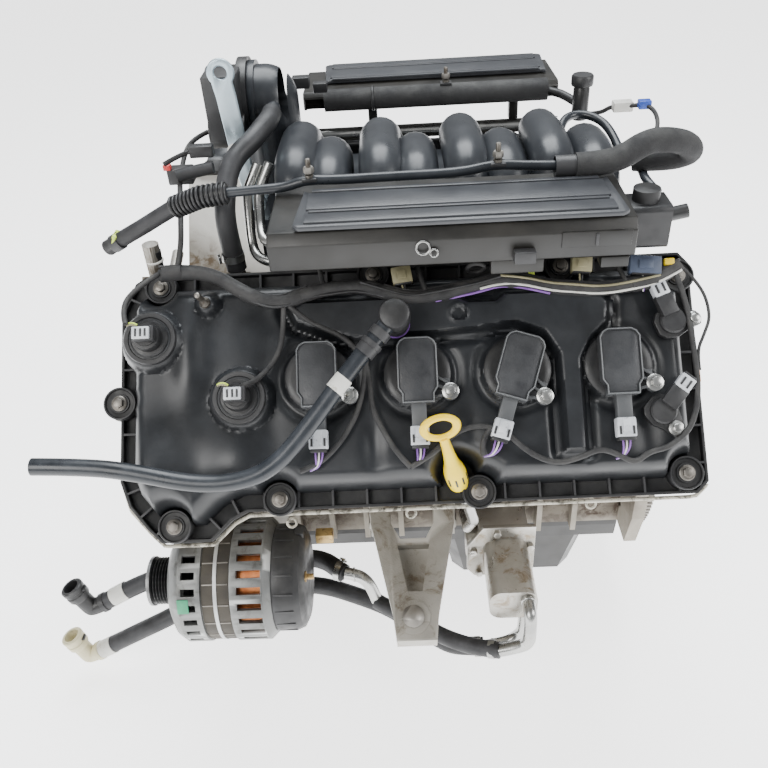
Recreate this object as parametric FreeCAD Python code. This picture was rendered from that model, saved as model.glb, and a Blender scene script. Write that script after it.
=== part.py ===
"""A V8 petrol engine, complete with its front drive, intake, cam covers and left side accessories.

Row frame, millimetres: the origin is on the crankshaft axis in the plane of the bell housing face.
+X points to the rear (flywheel end), +Y to the right bank, +Z up. The front drive is at -X.

Each bank is drawn in its own frame and then leaned over: x as in the row frame, t across the bank
(positive towards the valley), h up along the cylinder axes from the crankshaft axis.
"""

import FreeCAD
import Part

import math
import os

V = FreeCAD.Vector
X_AXIS = V(1, 0, 0)
Z_AXIS = V(0, 0, 1)

# ------------------------------------------------------------------ driving dimensions
bore = 93.0
stroke = 92.7
bore_pitch = 100.0
bank_lean = 45.0                 # each bank from the vertical
bank_stagger = 21.0              # the left bank sits this far behind the right one
rod_length = 150.7
crown_height = 29.3              # piston pin to crown
skirt_length = 25.0              # piston pin to the foot of the skirt
deck_clearance = 0.65            # piston crown below the deck at the top of its stroke
deck_height = stroke / 2 + rod_length + crown_height + deck_clearance
running_clearance = 0.05         # radial, shaft in bearing
seat_gap = 0.3                   # between parts that only lie beside each other

rear_main_x = -48.0
main_journal_r = 33.7
main_half = 13.0                 # half the length of a main journal
bulkhead_half = 12.0
crankpin_r = 26.5
throw_angles = (180.0, 270.0, 90.0, 0.0)   # rear to front, from the left bank's axis

skirt_half_width = 150.0
pan_rail_z = -78.0
deck_half_width = 78.0
gasket_thickness = 1.5
head_height = 118.0              # cam cover rail above the deck
head_top_h = deck_height + head_height
head_half_width = 118.0
cam_drop = 5.0                   # cam centres below the cover rail
cam_h = head_top_h - cam_drop
cam_t = 52.0
cam_base_r = 17.0
cam_lift = 7.0
cam_shaft_r = 12.0
cam_journal_r = 14.0

cover_front_x = -605.0
cover_rear_x = 7.0
cover_edge_t = 131.0
cover_wall = 3.5
cover_height = 51.0              # crown above its rail
cover_top_h = head_top_h + cover_height
timing_face_x = -598.0           # front face of the timing cover

nose_r = 17.0
crank_flange_r = 45.0
damper_r = 84.0
damper_face_x = -654.0

cylinders = 4
main_x = [rear_main_x - bore_pitch * i for i in range(cylinders + 1)]
pin_x = [rear_main_x - bore_pitch * (i + 0.5) for i in range(cylinders)]
left_x = [x + bank_stagger / 2 for x in pin_x]
right_x = [x - bank_stagger / 2 for x in pin_x]
block_front_x = main_x[-1] - 24.0
head_end = 62.0                  # last cylinder centre to the head's rear face
throw = stroke / 2
lean = math.radians(bank_lean)


# ------------------------------------------------------------------ shape helpers
def block_of(x0, x1, y0, y1, z0, z1):
    """A plain rectangular solid between two corners."""
    return Part.makeBox(x1 - x0, y1 - y0, z1 - z0, V(x0, y0, z0))


def bar(radius, x0, x1, y=0.0, z=0.0):
    """A round bar along X."""
    return Part.makeCylinder(radius, x1 - x0, V(x0, y, z), X_AXIS)


def post(radius, x, y, z0, z1):
    """A round post along Z."""
    return Part.makeCylinder(radius, z1 - z0, V(x, y, z0), Z_AXIS)


def stud(radius, start, direction, length):
    """A round bar of a given length from a point along a direction."""
    return Part.makeCylinder(radius, length, V(*start), V(*direction))


def slab_x(points, x0, x1):
    """A (y, z) outline extruded along X."""
    ring = [V(x0, y, z) for y, z in points]
    face = Part.Face(Part.makePolygon(ring + ring[:1]))
    return face.extrude(V(x1 - x0, 0, 0))


def slab_y(points, y0, y1):
    """An (x, z) outline extruded along Y."""
    ring = [V(x, y0, z) for x, z in points]
    face = Part.Face(Part.makePolygon(ring + ring[:1]))
    return face.extrude(V(0, y1 - y0, 0))


def slab_z(points, z0, z1):
    """An (x, y) outline extruded along Z."""
    ring = [V(x, y, z0) for x, y in points]
    face = Part.Face(Part.makePolygon(ring + ring[:1]))
    return face.extrude(V(0, 0, z1 - z0))


def turned_x(profile, y=0.0, z=0.0):
    """An (x, radius) outline revolved about a line along X."""
    ring = [V(x, y, z + r) for x, r in profile]
    face = Part.Face(Part.makePolygon(ring + ring[:1]))
    return face.revolve(V(0, y, z), X_AXIS, 360)


def turned_z(profile, x=0.0, y=0.0):
    """A (radius, z) outline revolved about a line along Z."""
    ring = [V(x + r, y, z) for r, z in profile]
    face = Part.Face(Part.makePolygon(ring + ring[:1]))
    return face.revolve(V(x, y, 0), Z_AXIS, 360)


def fused(shapes):
    """One solid from several that touch or overlap."""
    return shapes[0].multiFuse(shapes[1:]).removeSplitter()


def bridge(c1, r1, c2, r2, x0, x1):
    """Two discs in the YZ plane and the straight web that is tangent to both, extruded along X."""
    dy, dz = c2[0] - c1[0], c2[1] - c1[1]
    reach = math.hypot(dy, dz)
    along = math.atan2(dz, dy)
    spread = math.acos((r1 - r2) / reach)
    ring = []
    for centre, radius, sides in ((c1, r1, (1, -1)), (c2, r2, (-1, 1))):
        for side in sides:
            a = along + side * spread
            ring.append((centre[0] + radius * math.cos(a), centre[1] + radius * math.sin(a)))
    return fused([slab_x(ring, x0, x1), bar(r1, x0, x1, *c1), bar(r2, x0, x1, *c2)])


def leaned(shape):
    """A shape drawn in the bank frame, put where the left bank is."""
    copy = shape.copy()
    copy.rotate(V(0, 0, 0), X_AXIS, bank_lean)
    return copy


def on_right(shape):
    """A shape that stands in the left bank, mirrored over to the right bank."""
    return shape.mirror(V(0, 0, 0), V(0, 1, 0))


def bank_point(x, t, h, side=-1):
    """A bank frame point in the row frame; side -1 is the left bank and +1 the right one."""
    c = math.cos(lean)
    s = math.sin(lean)
    return (x, -side * (c * t - s * h), s * t + c * h)


def route(points, bend):
    """A wire of straight runs joined by tangent arcs. bend is a radius or one for each corner."""
    knots = [V(*p) for p in points]
    corners = len(knots) - 2
    radii = bend if isinstance(bend, (list, tuple)) else [bend] * corners
    edges, start = [], knots[0]
    for i in range(1, corners + 1):
        before = (knots[i] - knots[i - 1]).normalize()
        after = (knots[i + 1] - knots[i]).normalize()
        turn = before.getAngle(after)
        if turn < 1e-4:
            continue
        runs = ((knots[i] - knots[i - 1]).Length, (knots[i + 1] - knots[i]).Length)
        cut = min(radii[i - 1] * math.tan(turn / 2), 0.45 * min(runs))
        radius = cut / math.tan(turn / 2)
        entry, leave = knots[i] - before * cut, knots[i] + after * cut
        centre_way = (after - before).normalize()
        centre = knots[i] + centre_way * (radius / math.cos(turn / 2))
        middle = centre - centre_way * radius
        edges += [Part.LineSegment(start, entry).toShape(), Part.Arc(entry, middle, leave).toShape()]
        start = leave
    edges.append(Part.LineSegment(start, knots[-1]).toShape())
    return Part.Wire(edges)


def pipe(points, radius, bend=None):
    """A round solid tube along a route."""
    path = route(points, bend or 3 * radius)
    way = (V(*points[1]) - V(*points[0])).normalize()
    ring = Part.Wire(Part.makeCircle(radius, V(*points[0]), way))
    return path.makePipeShell([ring], True, False)


def six_sided(points, radius, bend=None):
    """A lead of plain six-sided section along a route."""
    way = (V(*points[1]) - V(*points[0])).normalize()
    side = way.cross(Z_AXIS if abs(way.z) < 0.9 else V(0, 1, 0)).normalize()
    up = side.cross(way)
    ring = []
    for i in range(6):
        a = math.radians(60 * i)
        ring.append(V(*points[0]) + side * (radius * math.cos(a)) + up * (radius * math.sin(a)))
    profile = Part.makePolygon(ring + ring[:1])
    path = Part.makePolygon([V(*p) for p in points])
    return path.makePipeShell([profile], True, False, 1)


def hexagon_head(x, y, z, across, height, way=(0, 0, 1), shank_r=None, shank=0.0):
    """A hexagon bolt: head standing on a point along a direction, shank going the other way."""
    corner = across / math.sqrt(3)
    ring = [(x + corner * math.cos(math.radians(60 * i)), y + corner * math.sin(math.radians(60 * i)))
            for i in range(6)]
    bolt = slab_z(ring, z, z + height)
    if shank_r:
        bolt = fused([bolt, post(shank_r, x, y, z - shank, z)])
    turn = FreeCAD.Rotation(Z_AXIS, V(*way))
    bolt.rotate(V(x, y, z), turn.Axis, math.degrees(turn.Angle))
    return bolt


parts = {}


def keep(name, *solids):
    """One node of the model: a solid, or several separate ones."""
    parts[name] = solids[0] if len(solids) == 1 else Part.makeCompound(list(solids))


# ------------------------------------------------------------------ cylinder block
crank_room_r = 84.0              # clears the counterweights
bore_foot_h = 72.0
valley_h = 135.0
flange_thickness = 16.0
bell_bolt_y = 150.0
bell_bolt_z = (-45.0, 165.0)
bell_bolt_r = 6.0
seal_ring_r = 52.0
cap_half_width = 55.0


def left_yz(t, h):
    """(y, z) of a left bank point."""
    return bank_point(0, t, h)[1:]


def both_sides(half):
    """A left hand half outline, from the bottom up, closed by its mirror image."""
    return half + [(-y, z) for y, z in reversed(half)]


def cylinder_block():
    half = [(-skirt_half_width, pan_rail_z), (-skirt_half_width, -10.0),
            left_yz(-deck_half_width, 128.0), left_yz(-deck_half_width, deck_height),
            left_yz(deck_half_width, deck_height), left_yz(deck_half_width, valley_h)]
    body = slab_x(both_sides(half), block_front_x, -flange_thickness)
    flange_half = [(-190.0, pan_rail_z), (-205.0, -20.0), (-205.0, 95.0), (-150.0, 195.0)]
    body = fused([body, slab_x(both_sides(flange_half), -flange_thickness, 0.0)])
    holes = []
    for bank_x, place in ((left_x, leaned), (right_x, lambda s: on_right(leaned(s)))):
        for x in bank_x:
            holes.append(place(post(bore / 2, x, 0, bore_foot_h, deck_height + 1)))
    room_half = 128.0
    for x in main_x[:-1]:
        x0, x1 = x - bore_pitch + bulkhead_half, x - bulkhead_half
        holes.append(bar(crank_room_r, x0, x1))
        holes.append(block_of(x0, x1, -room_half, room_half, pan_rail_z - 1, -40.0))
    for x in main_x:
        holes.append(block_of(x - bulkhead_half - 1, x + bulkhead_half + 1,
                              -cap_half_width, cap_half_width, pan_rail_z - 1, 0.0))
    line_bore_r = main_journal_r + running_clearance
    holes.append(bar(line_bore_r, block_front_x - 1, main_x[0] + bulkhead_half + 1))
    holes.append(bar(seal_ring_r, main_x[0] + bulkhead_half, 1.0))
    holes.append(block_of(main_x[0] + bulkhead_half, -flange_thickness - 12, -seal_ring_r,
                          seal_ring_r, pan_rail_z - 1, 0.0))
    for y in (-bell_bolt_y, bell_bolt_y):
        for z in bell_bolt_z:
            holes.append(bar(bell_bolt_r, -flange_thickness - 1, 1.0, y, z))
    body = body.cut(Part.makeCompound(holes))
    # cast ribs down each side, between the deck and the pan rail
    ribs = []
    rib_pitch = 47.0
    outer = [(-skirt_half_width + 1, pan_rail_z), (-skirt_half_width - 16, pan_rail_z),
             (-skirt_half_width - 16, -30.0), (-skirt_half_width + 1, 10.0)]
    for i in range(9):
        x = block_front_x + 12 + rib_pitch * i
        rib = slab_x(outer, x, x + 7)
        ribs += [rib, rib.mirror(V(0, 0, 0), V(0, 1, 0))]
    body = fused([body] + ribs)
    return body


def main_caps():
    caps = []
    for x in main_x:
        cap = block_of(x - bulkhead_half, x + bulkhead_half, -cap_half_width + seat_gap,
                       cap_half_width - seat_gap, -52.0, 0.0)
        caps.append(cap.cut(bar(main_journal_r + running_clearance, x - 20, x + 20)))
    return caps


# ------------------------------------------------------------------ crankshaft, rods and pistons
web_r = 38.0
pin_boss_r = 31.0
counterweight_r = 76.0
rod_width = 19.6
flange_face_x = 12.0
pilot_r = 11.0
pilot_depth = 12.0                # the pilot bearing's counterbore, down to the housing face
pilot_relief_r = 8.0
pilot_relief_depth = 24.0


def pin_at(angle):
    """(y, z) of a crankpin whose throw stands at an angle from the left bank's axis."""
    a = lean + math.radians(angle)
    return (-throw * math.sin(a), throw * math.cos(a))


def crankshaft():
    body = [bar(main_journal_r, x - main_half, x + main_half) for x in main_x]
    for x, angle in zip(pin_x, throw_angles):
        py, pz = pin_at(angle)
        body.append(bar(crankpin_r, x - bank_stagger - 1, x + bank_stagger + 1, py, pz))
        for x0 in (x - bore_pitch / 2 + main_half, x + bank_stagger):
            x1 = x0 + bore_pitch / 2 - main_half - bank_stagger
            web = bridge((0, 0), web_r, (py, pz), pin_boss_r, x0, x1)
            side = math.degrees(math.atan2(pz, py))
            weight = Part.makeCylinder(counterweight_r, x1 - x0, V(x0, 0, 0), X_AXIS, 150)
            weight.rotate(V(0, 0, 0), X_AXIS, side + 180 - 75)
            body += [web, weight]
    rear = main_x[0] + main_half
    body.append(bar(crank_flange_r, rear, flange_face_x))
    body.append(bar(nose_r, damper_face_x + 12, main_x[-1]))
    shaft = fused(body)
    shaft = shaft.cut(bar(pilot_r, flange_face_x - pilot_depth, flange_face_x + 1))
    return shaft.cut(bar(pilot_relief_r, flange_face_x - pilot_relief_depth, flange_face_x))


def wrist_height(angle):
    """Height of the piston pin above the crank axis, for a throw at an angle from its bank."""
    a = math.radians(angle)
    return throw * math.cos(a) + math.sqrt(rod_length ** 2 - (throw * math.sin(a)) ** 2)


small_end_r = 16.0
wrist_pin_r = 11.0
wrist_pin_half = 30.0
big_end_r = 37.0


def connecting_rod(x, angle):
    """One rod with its cap, in the bank frame, for a throw at an angle from the bank's axis."""
    half = rod_width / 2
    blank = bridge((0, 0), 17.0, (0, rod_length), 10.0, -half + 3, half - 3)
    blank = fused([blank, bar(big_end_r, -half, half), bar(small_end_r, -half, half, 0, rod_length)])
    blank = blank.cut(bar(crankpin_r + running_clearance, -half - 1, half + 1))
    blank = blank.cut(bar(wrist_pin_r + running_clearance, -half - 1, half + 1, 0, rod_length))
    a = math.radians(angle)
    pt, ph = -throw * math.sin(a), throw * math.cos(a)
    swing = math.degrees(math.asin(pt / rod_length))
    blank.rotate(V(0, 0, 0), X_AXIS, swing)
    blank.translate(V(x, pt, ph))
    return blank


def piston(x, height):
    """A piston in the bank frame, with its pin bosses and open skirt."""
    radius = bore / 2 - running_clearance
    body = turned_z([(0, height + crown_height), (radius, height + crown_height),
                     (radius, height - skirt_length), (0, height - skirt_length)], x, 0)
    floor = height + crown_height - 9
    hollow = block_of(x - 13, x + 13, -36, 36, height - skirt_length - 1, floor)
    return body.cut(hollow).cut(bar(wrist_pin_r, x - 50, x + 50, 0, height))


def wrist_pin(x, height):
    return bar(wrist_pin_r - 0.01, x - wrist_pin_half, x + wrist_pin_half, 0, height)


def rotating_parts():
    rods, pistons, pins = [], [], []
    for i, angle in enumerate(throw_angles):
        height = wrist_height(angle)
        rods.append(leaned(connecting_rod(left_x[i], angle)))
        pistons.append(leaned(piston(left_x[i], height)))
        pins.append(leaned(wrist_pin(left_x[i], height)))
        # seen in the mirror the right bank's throw stands a quarter turn the other way
        mirrored = -(angle + 90.0)
        height = wrist_height(mirrored)
        rods.append(on_right(leaned(connecting_rod(right_x[i], mirrored))))
        pistons.append(on_right(leaned(piston(right_x[i], height))))
        pins.append(on_right(leaned(wrist_pin(right_x[i], height))))
    return rods, pistons, pins


# ------------------------------------------------------------------ cylinder heads and valve gear
valve_tilt = 14.0
spring_foot = 43.0                # along the valve, from its face
valve_pitch = 19.5               # half the distance between the two valves of a kind
valve_seat_t = 20.0
valve_seat_h = deck_height + 9.0
valve_length = 76.0
intake_valve_r = 18.0
exhaust_valve_r = 15.5
plug_well_r = 13.5
carrier_half = 8.0
cam_floor_rise = 51.0            # floor of the cam room above the deck
cam_floor_h = deck_height + cam_floor_rise
port_r = 17.0
exhaust_pad_t = 124.0
exhaust_pad_half = 23.0
exhaust_port_h = deck_height + 80.0


def head_outline():
    """(t, h) of the head's section, from the outboard foot round."""
    low = deck_height + gasket_thickness
    return [(-deck_half_width, low), (-112.0, low + 38), (-head_half_width, low + 60),
            (-head_half_width, head_top_h), (head_half_width, head_top_h),
            (head_half_width, low + 84), (112.0, low + 78), (112.0, low + 34), (deck_half_width, low)]


def cylinder_head(bank_x):
    """A head in the bank frame, hollow where the cams and springs stand."""
    rear = bank_x[0] + head_end
    body = slab_x(head_outline(), block_front_x, rear)
    for passage in valve_passages(bank_x):
        body = body.cut(passage)
    towers = [post(plug_well_r + 4, x, 0, cam_floor_h - 1, head_top_h) for x in bank_x]
    room = block_of(block_front_x + 12, rear - 10, -head_half_width + 9, head_half_width - 9,
                    cam_floor_h, head_top_h + 1)
    body = body.cut(room.cut(Part.makeCompound(towers)))
    body = body.cut(Part.makeCompound([post(plug_well_r, x, 0, deck_height, head_top_h + 1)
                                       for x in bank_x]))
    chamber = [(0, deck_height), (bore / 2 - 2, deck_height), (bore / 2 - 8, valve_seat_h),
               (0, valve_seat_h + 5)]
    body = body.cut(Part.makeCompound([turned_z(chamber, x, 0) for x in bank_x]))
    body = fused([body] + [block_of(x - 31, x + 31, -exhaust_pad_t, -head_half_width + 8,
                                   exhaust_port_h - exhaust_pad_half, exhaust_port_h + exhaust_pad_half)
                           for x in bank_x])
    cuts = [stud(port_r, (x, -exhaust_pad_t - 1, exhaust_port_h), (0, 1, 0), 7) for x in bank_x]
    for side in (-1, 1):
        cuts.append(bar(cam_journal_r + 1, block_front_x - 1, block_front_x + 13, side * cam_t, cam_h))
    return body.cut(Part.makeCompound(cuts))


def valves_of(bank_x, side, radius):
    """The valves on one side of a bank, side +1 for the intake side."""
    made, springs = [], []
    stem_r = 3.0
    for x in bank_x:
        for dx in (-valve_pitch, valve_pitch):
            outline = [(0, 0), (radius, 0), (radius, 2.0), (stem_r, 12.0),
                       (stem_r, valve_length), (0, valve_length)]
            valve = turned_z(outline)
            spring = turned_z([(stem_r + 4, spring_foot), (11.5, spring_foot), (11.5, valve_length - 5),
                               (stem_r + 0.2, valve_length - 5), (stem_r + 0.2, valve_length - 8),
                               (stem_r + 4, valve_length - 8)])
            for shape in (valve, spring):
                shape.rotate(V(0, 0, 0), X_AXIS, -valve_tilt * side)
                shape.translate(V(x + dx, side * valve_seat_t, valve_seat_h))
            made.append(valve)
            springs.append(spring)
    return made, springs


def valve_passages(bank_x):
    """What the head gives up so that valves and springs stand clear in it."""
    cuts = []
    for side, radius in ((1, intake_valve_r), (-1, exhaust_valve_r)):
        for x in bank_x:
            for dx in (-valve_pitch, valve_pitch):
                outline = [(0, -6), (radius + 1, -6), (radius + 1, 2.5), (3.3, 12.8),
                           (3.3, spring_foot - 0.3), (12.2, spring_foot - 0.3), (12.2, valve_length + 12), (0, valve_length + 12)]
                cut = turned_z(outline)
                cut.rotate(V(0, 0, 0), X_AXIS, -valve_tilt * side)
                cut.translate(V(x + dx, side * valve_seat_t, valve_seat_h))
                cuts.append(cut)
    return cuts


def followers_of(bank_x):
    """Roller finger followers with their lash adjusters, both sides of a bank."""
    made = []
    tip_t = valve_seat_t + valve_length * math.sin(math.radians(valve_tilt))
    tip_h = valve_seat_h + valve_length * math.cos(math.radians(valve_tilt))
    top_h = cam_h - cam_base_r - cam_lift - seat_gap
    for x in bank_x:
        for dx in (-valve_pitch, valve_pitch):
            for side in (1, -1):
                t0, t1 = tip_t - 5, tip_t + 26
                arm = block_of(x + dx - 5, x + dx + 5, min(side * t0, side * t1),
                               max(side * t0, side * t1), tip_h + 1.1, top_h)
                adjuster = post(4.5, x + dx, side * (t1 - 6), cam_floor_h, tip_h + 1)
                made.append(fused([arm, adjuster]))
    return made


def journal_spots(bank_x):
    return [bank_x[0] + 42.0] + [x + bore_pitch / 2 for x in bank_x[1:]] + [bank_x[-1] - 42.0]


def camshaft(bank_x, side, lobe_angle, front_x):
    """A camshaft in the bank frame; side +1 is the intake cam, next to the valley."""
    t = side * cam_t
    rear = bank_x[0] + head_end - 11
    body = [bar(cam_shaft_r, front_x, rear, t, cam_h)]
    firing = (0, 270, 90, 180)
    for x in journal_spots(bank_x):
        body.append(bar(cam_journal_r, x - carrier_half, x + carrier_half, t, cam_h))
    for x, turn in zip(bank_x, firing):
        for dx in (-valve_pitch, valve_pitch):
            a = math.radians(lobe_angle + turn)
            nose_small_r = 6.0
            reach = cam_base_r + cam_lift - nose_small_r
            nose = (t + reach * math.sin(a), cam_h + reach * math.cos(a))
            body.append(bridge((t, cam_h), cam_base_r, nose, nose_small_r, x + dx - 6, x + dx + 6))
    return fused(body)


def cam_carriers(bank_x):
    """The bearing towers and caps that both cams of a bank run in."""
    made = []
    for x in journal_spots(bank_x):
        outline = [(-cam_t - 22, cam_floor_h), (-cam_t - 22, cam_h + 8), (-cam_t - 12, cam_h + 19),
                   (-cam_t + 12, cam_h + 19), (-cam_t + 24, head_top_h + 8),
                   (cam_t - 24, head_top_h + 8), (cam_t - 12, cam_h + 19), (cam_t + 12, cam_h + 19),
                   (cam_t + 22, cam_h + 8), (cam_t + 22, cam_floor_h)]
        tower = slab_x(outline, x - carrier_half, x + carrier_half)
        for side in (-1, 1):
            tower = tower.cut(bar(cam_journal_r + running_clearance, x - 20, x + 20,
                                  side * cam_t, cam_h))
        made.append(tower)
    return made


def head_gasket(bank_x):
    rear = bank_x[0] + head_end
    sheet = block_of(block_front_x, rear, -deck_half_width, deck_half_width,
                     deck_height, deck_height + gasket_thickness)
    holes = [post(bore / 2 + 1, x, 0, deck_height - 1, deck_height + 3) for x in bank_x]
    return sheet.cut(Part.makeCompound(holes))


plug_hex_r = 8.0


def spark_plug(x):
    """A spark plug in its well, electrode end in the chamber."""
    seat = valve_seat_h + 5
    return turned_z([(0, seat - 8), (5, seat - 8), (5, seat + 4), (plug_hex_r, seat + 14),
                     (plug_hex_r, seat + 26), (4.5, seat + 30), (4.5, seat + 52), (0, seat + 52)], x, 0)


# ------------------------------------------------------------------ timing drive
crank_sprocket_r = 22.0
cam_sprocket_r = 44.0
phaser_r = 40.0
link_depth = 6.0
primary_rows = {-1: (-508.0, -496.0), 1: (-528.0, -516.0)}   # left and right chain planes
secondary_row = (-576.0, -566.0)
secondary_r = 33.0


def chain_loop(c1, r1, c2, r2, x0, x1):
    """A closed chain round two sprockets, its inside clear of their tips."""
    inner_gap = 0.5
    outer = bridge(c1, r1 + link_depth, c2, r2 + link_depth, x0, x1)
    return outer.cut(bridge(c1, r1 + inner_gap, c2, r2 + inner_gap, x0 - 1, x1 + 1))


def phaser(side, bank):
    """A cam phaser: the intake one also carries the primary sprocket."""
    t = side * cam_t
    row = primary_rows[bank]
    if side > 0:
        body = [bar(phaser_r, secondary_row[1], row[0], t, cam_h),
                bar(cam_sprocket_r, row[0], row[1], t, cam_h)]
    else:
        body = [bar(phaser_r, secondary_row[1], row[1], t, cam_h)]
    body.append(bar(secondary_r, secondary_row[0], secondary_row[1], t, cam_h))
    wheel = fused(body)
    return wheel.cut(bar(cam_shaft_r, secondary_row[0] - 1, row[1] + 1, t, cam_h))


def crank_sprocket():
    wheels = [bar(crank_sprocket_r, row[0], row[1]) for row in primary_rows.values()]
    hub = bar(crank_sprocket_r - 3, -530.0, -494.0)
    return fused(wheels + [hub]).cut(bar(nose_r, -540, -480))


def primary_chain(bank):
    """Crank to intake cam; bank -1 is the left one."""
    top = bank_point(0, cam_t, cam_h, bank)[1:]
    row = primary_rows[bank]
    return chain_loop((0, 0), crank_sprocket_r, top, cam_sprocket_r, row[0] + 1, row[1] - 1)


def secondary_chain():
    """Intake cam to exhaust cam, in the bank frame."""
    return chain_loop((-cam_t, cam_h), secondary_r, (cam_t, cam_h), secondary_r,
                      secondary_row[0] + 1, secondary_row[1] - 1)


def chain_guide(bank):
    """A guide that the outboard run of the primary chain slides along, on two bosses."""
    row = primary_rows[bank]
    top = bank_point(0, cam_t, cam_h, bank)[1:]
    along = math.atan2(top[1], top[0])
    r1, r2 = crank_sprocket_r + 0.5, cam_sprocket_r + 0.5
    normal = along - bank * math.acos((r1 - r2) / math.hypot(*top))
    n = (math.cos(normal), math.sin(normal))
    ends = []
    for share in (0.26, 0.76):
        foot = [r1 * n[k] * (1 - share) + (top[k] + r2 * n[k]) * share for k in (0, 1)]
        ends.append(tuple(foot[k] - n[k] * (7.0 + seat_gap) for k in (0, 1)))
    blade = bridge(ends[0], 7.0, ends[1], 6.9, row[0] + 1, row[1] + 2)
    bosses = [bar(6.0, row[1], block_front_x, *end) for end in ends]
    return fused([blade] + bosses)


# ------------------------------------------------------------------ front cover, pan and pump
case_wall = 6.0
front_seal_r = 30.0


def front_outline(inset=0.0):
    """(y, z) of the timing cover, left half mirrored; inset moves the walls inwards."""
    rail = head_top_h
    edge = head_half_width - inset
    half = [(-skirt_half_width + inset, pan_rail_z - (1 if inset else 0)),
            (-skirt_half_width + inset, 5.0),
            left_yz(-edge, deck_height + 50 + inset),
            left_yz(-edge, rail + (1 if inset else 0)), left_yz(edge, rail + (1 if inset else 0)),
            left_yz(edge, deck_height + 60 - inset), (-50.0 + inset / 2, 216.0 - inset)]
    return both_sides(half)


def front_cover():
    shell = slab_x(front_outline(), timing_face_x, block_front_x)
    shell = shell.cut(slab_x(front_outline(case_wall), timing_face_x + case_wall, block_front_x + 1))
    pads = [bar(front_seal_r + 14, timing_face_x - 8, timing_face_x + 1),
            bar(46.0, timing_face_x - 10, timing_face_x + 1, 0.0, pump_z),
            bar(20.0, timing_face_x - belt_pad, timing_face_x + 1, *idler_at),
            bar(26.0, timing_face_x - belt_pad, timing_face_x + 1, *arm_pivot)]
    ribs = []
    for angle in (-60, -25, 0, 25, 60):
        a = math.radians(angle)
        rib = block_of(timing_face_x - 5, timing_face_x + 1, -2.5, 2.5, 30.0, 175.0)
        rib.rotate(V(0, 0, 0), X_AXIS, math.degrees(a))
        ribs.append(rib.common(slab_x(front_outline(), timing_face_x - 6, timing_face_x + 2)))
    shell = fused([shell] + pads + ribs)
    return shell.cut(bar(front_seal_r, timing_face_x - 20, timing_face_x + case_wall + 1))


def seal_ring(outer, inner, x0, x1):
    return turned_x([(x0, inner), (x0, outer), (x1, outer), (x1, inner)])


pan_wall = 4.0
pan_floor_z = -140.0
sump_floor_z = -252.0
sump_x = (-262.0, -34.0)


def oil_pan():
    """Shallow along the front bearings, with a deep tapered sump at the rear."""
    def hull(inset):
        lip = [(-skirt_half_width + inset, pan_rail_z - 8), (-skirt_half_width + inset + 4, -110.0),
               (-118.0 + inset, pan_floor_z + inset), (118.0 - inset, pan_floor_z + inset),
               (skirt_half_width - inset - 4, -110.0), (skirt_half_width - inset, pan_rail_z - 8)]
        top = pan_rail_z if not inset else pan_rail_z + 1
        lip = [(-skirt_half_width + inset, top)] + lip + [(skirt_half_width - inset, top)]
        tray = slab_x(lip, timing_face_x + inset, -flange_thickness - inset)
        rings = []
        for z, grow in ((pan_floor_z + 12, 0.0), (sump_floor_z + inset, -22.0)):
            x0, x1 = sump_x[0] - grow + inset, sump_x[1] + grow - inset
            y = 104.0 + grow - inset
            corner = 18.0
            ring = [V(x0 + corner, -y, z), V(x1 - corner, -y, z), V(x1, -y + corner, z),
                    V(x1, y - corner, z), V(x1 - corner, y, z), V(x0 + corner, y, z),
                    V(x0, y - corner, z), V(x0, -y + corner, z)]
            rings.append(Part.makePolygon(ring + ring[:1]))
        return fused([tray, Part.makeLoft(rings, True, True)])
    pan = hull(0.0).cut(hull(pan_wall))
    plug_z = sump_floor_z + 30
    boss = stud(14.0, (sump_x[0] + 4, 0, plug_z), (1, 0, 0), 18)
    return fused([pan, boss])


def oil_pump():
    """Ring shaped pump round the crank nose, behind the front cover."""
    ring = bar(46.0, block_front_x - 20, block_front_x)
    foot = block_of(block_front_x - 20, block_front_x, -30, 30, -66, -30)
    return fused([ring, foot]).cut(bar(nose_r + 3, block_front_x - 30, block_front_x + 10))


def oil_pickup():
    top = (block_front_x - 12, 0, -66.0)
    points = [top, (block_front_x - 12, 0, -118.0), (-236.0, 0, -118.0), (-192.0, 0, -160.0),
              (-170.0, 0, -226.0)]
    tube = pipe(points, 11.0, 24.0)
    bell = Part.makeCone(13.0, 34.0, 20.0, V(-166.0, 0, -222.0), V(0, 0, -1))
    return fused([tube, bell])


# ------------------------------------------------------------------ cam covers
def cover_outline(x1, inset=0.0):
    """(x, t) of a cam cover's rail, with the deep front lobe on the outboard side."""
    x0 = cover_front_x + inset
    x1 = x1 - inset
    out, inn = -cover_edge_t + inset, cover_edge_t - 4 - inset
    lobe = -160.0 + inset
    k = inset * 0.4
    return [(x0, 88.0 - k), (x0 + 26, inn), (x1 - 10, inn), (x1, inn - 12), (x1, out + 14),
            (x1 - 12, out), (-470.0 + k, out), (-486.0 + k, out - 8), (-508.0 + k, lobe),
            (-560.0 - k, lobe), (x0 + 30, lobe + 16), (x0 + 10, -120.0 + k), (x0, -95.0 + k)]


cover_bolt_spots = [(-545, -143), (-435, -119), (-229, -119), (-17, -108),
                    (-604, -12), (-560, 112), (-330, 116), (-130, 116), (-8, 100)]
cover_boss_r = 15.0
coil_boss_r = 34.0
solenoid_spots = [(-556.0, 46.0), (-466.0, -18.0)]
solenoid_boss_r = 30.0
solenoid_hole_r = 19.0 + seat_gap
breather_spot = (-307.0, 50.0)
separator_rise = 10.0            # separator above the crown
separator_h = cover_top_h + separator_rise
dome_r = 54.0
dome_x = (-600.0, -486.0)


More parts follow.
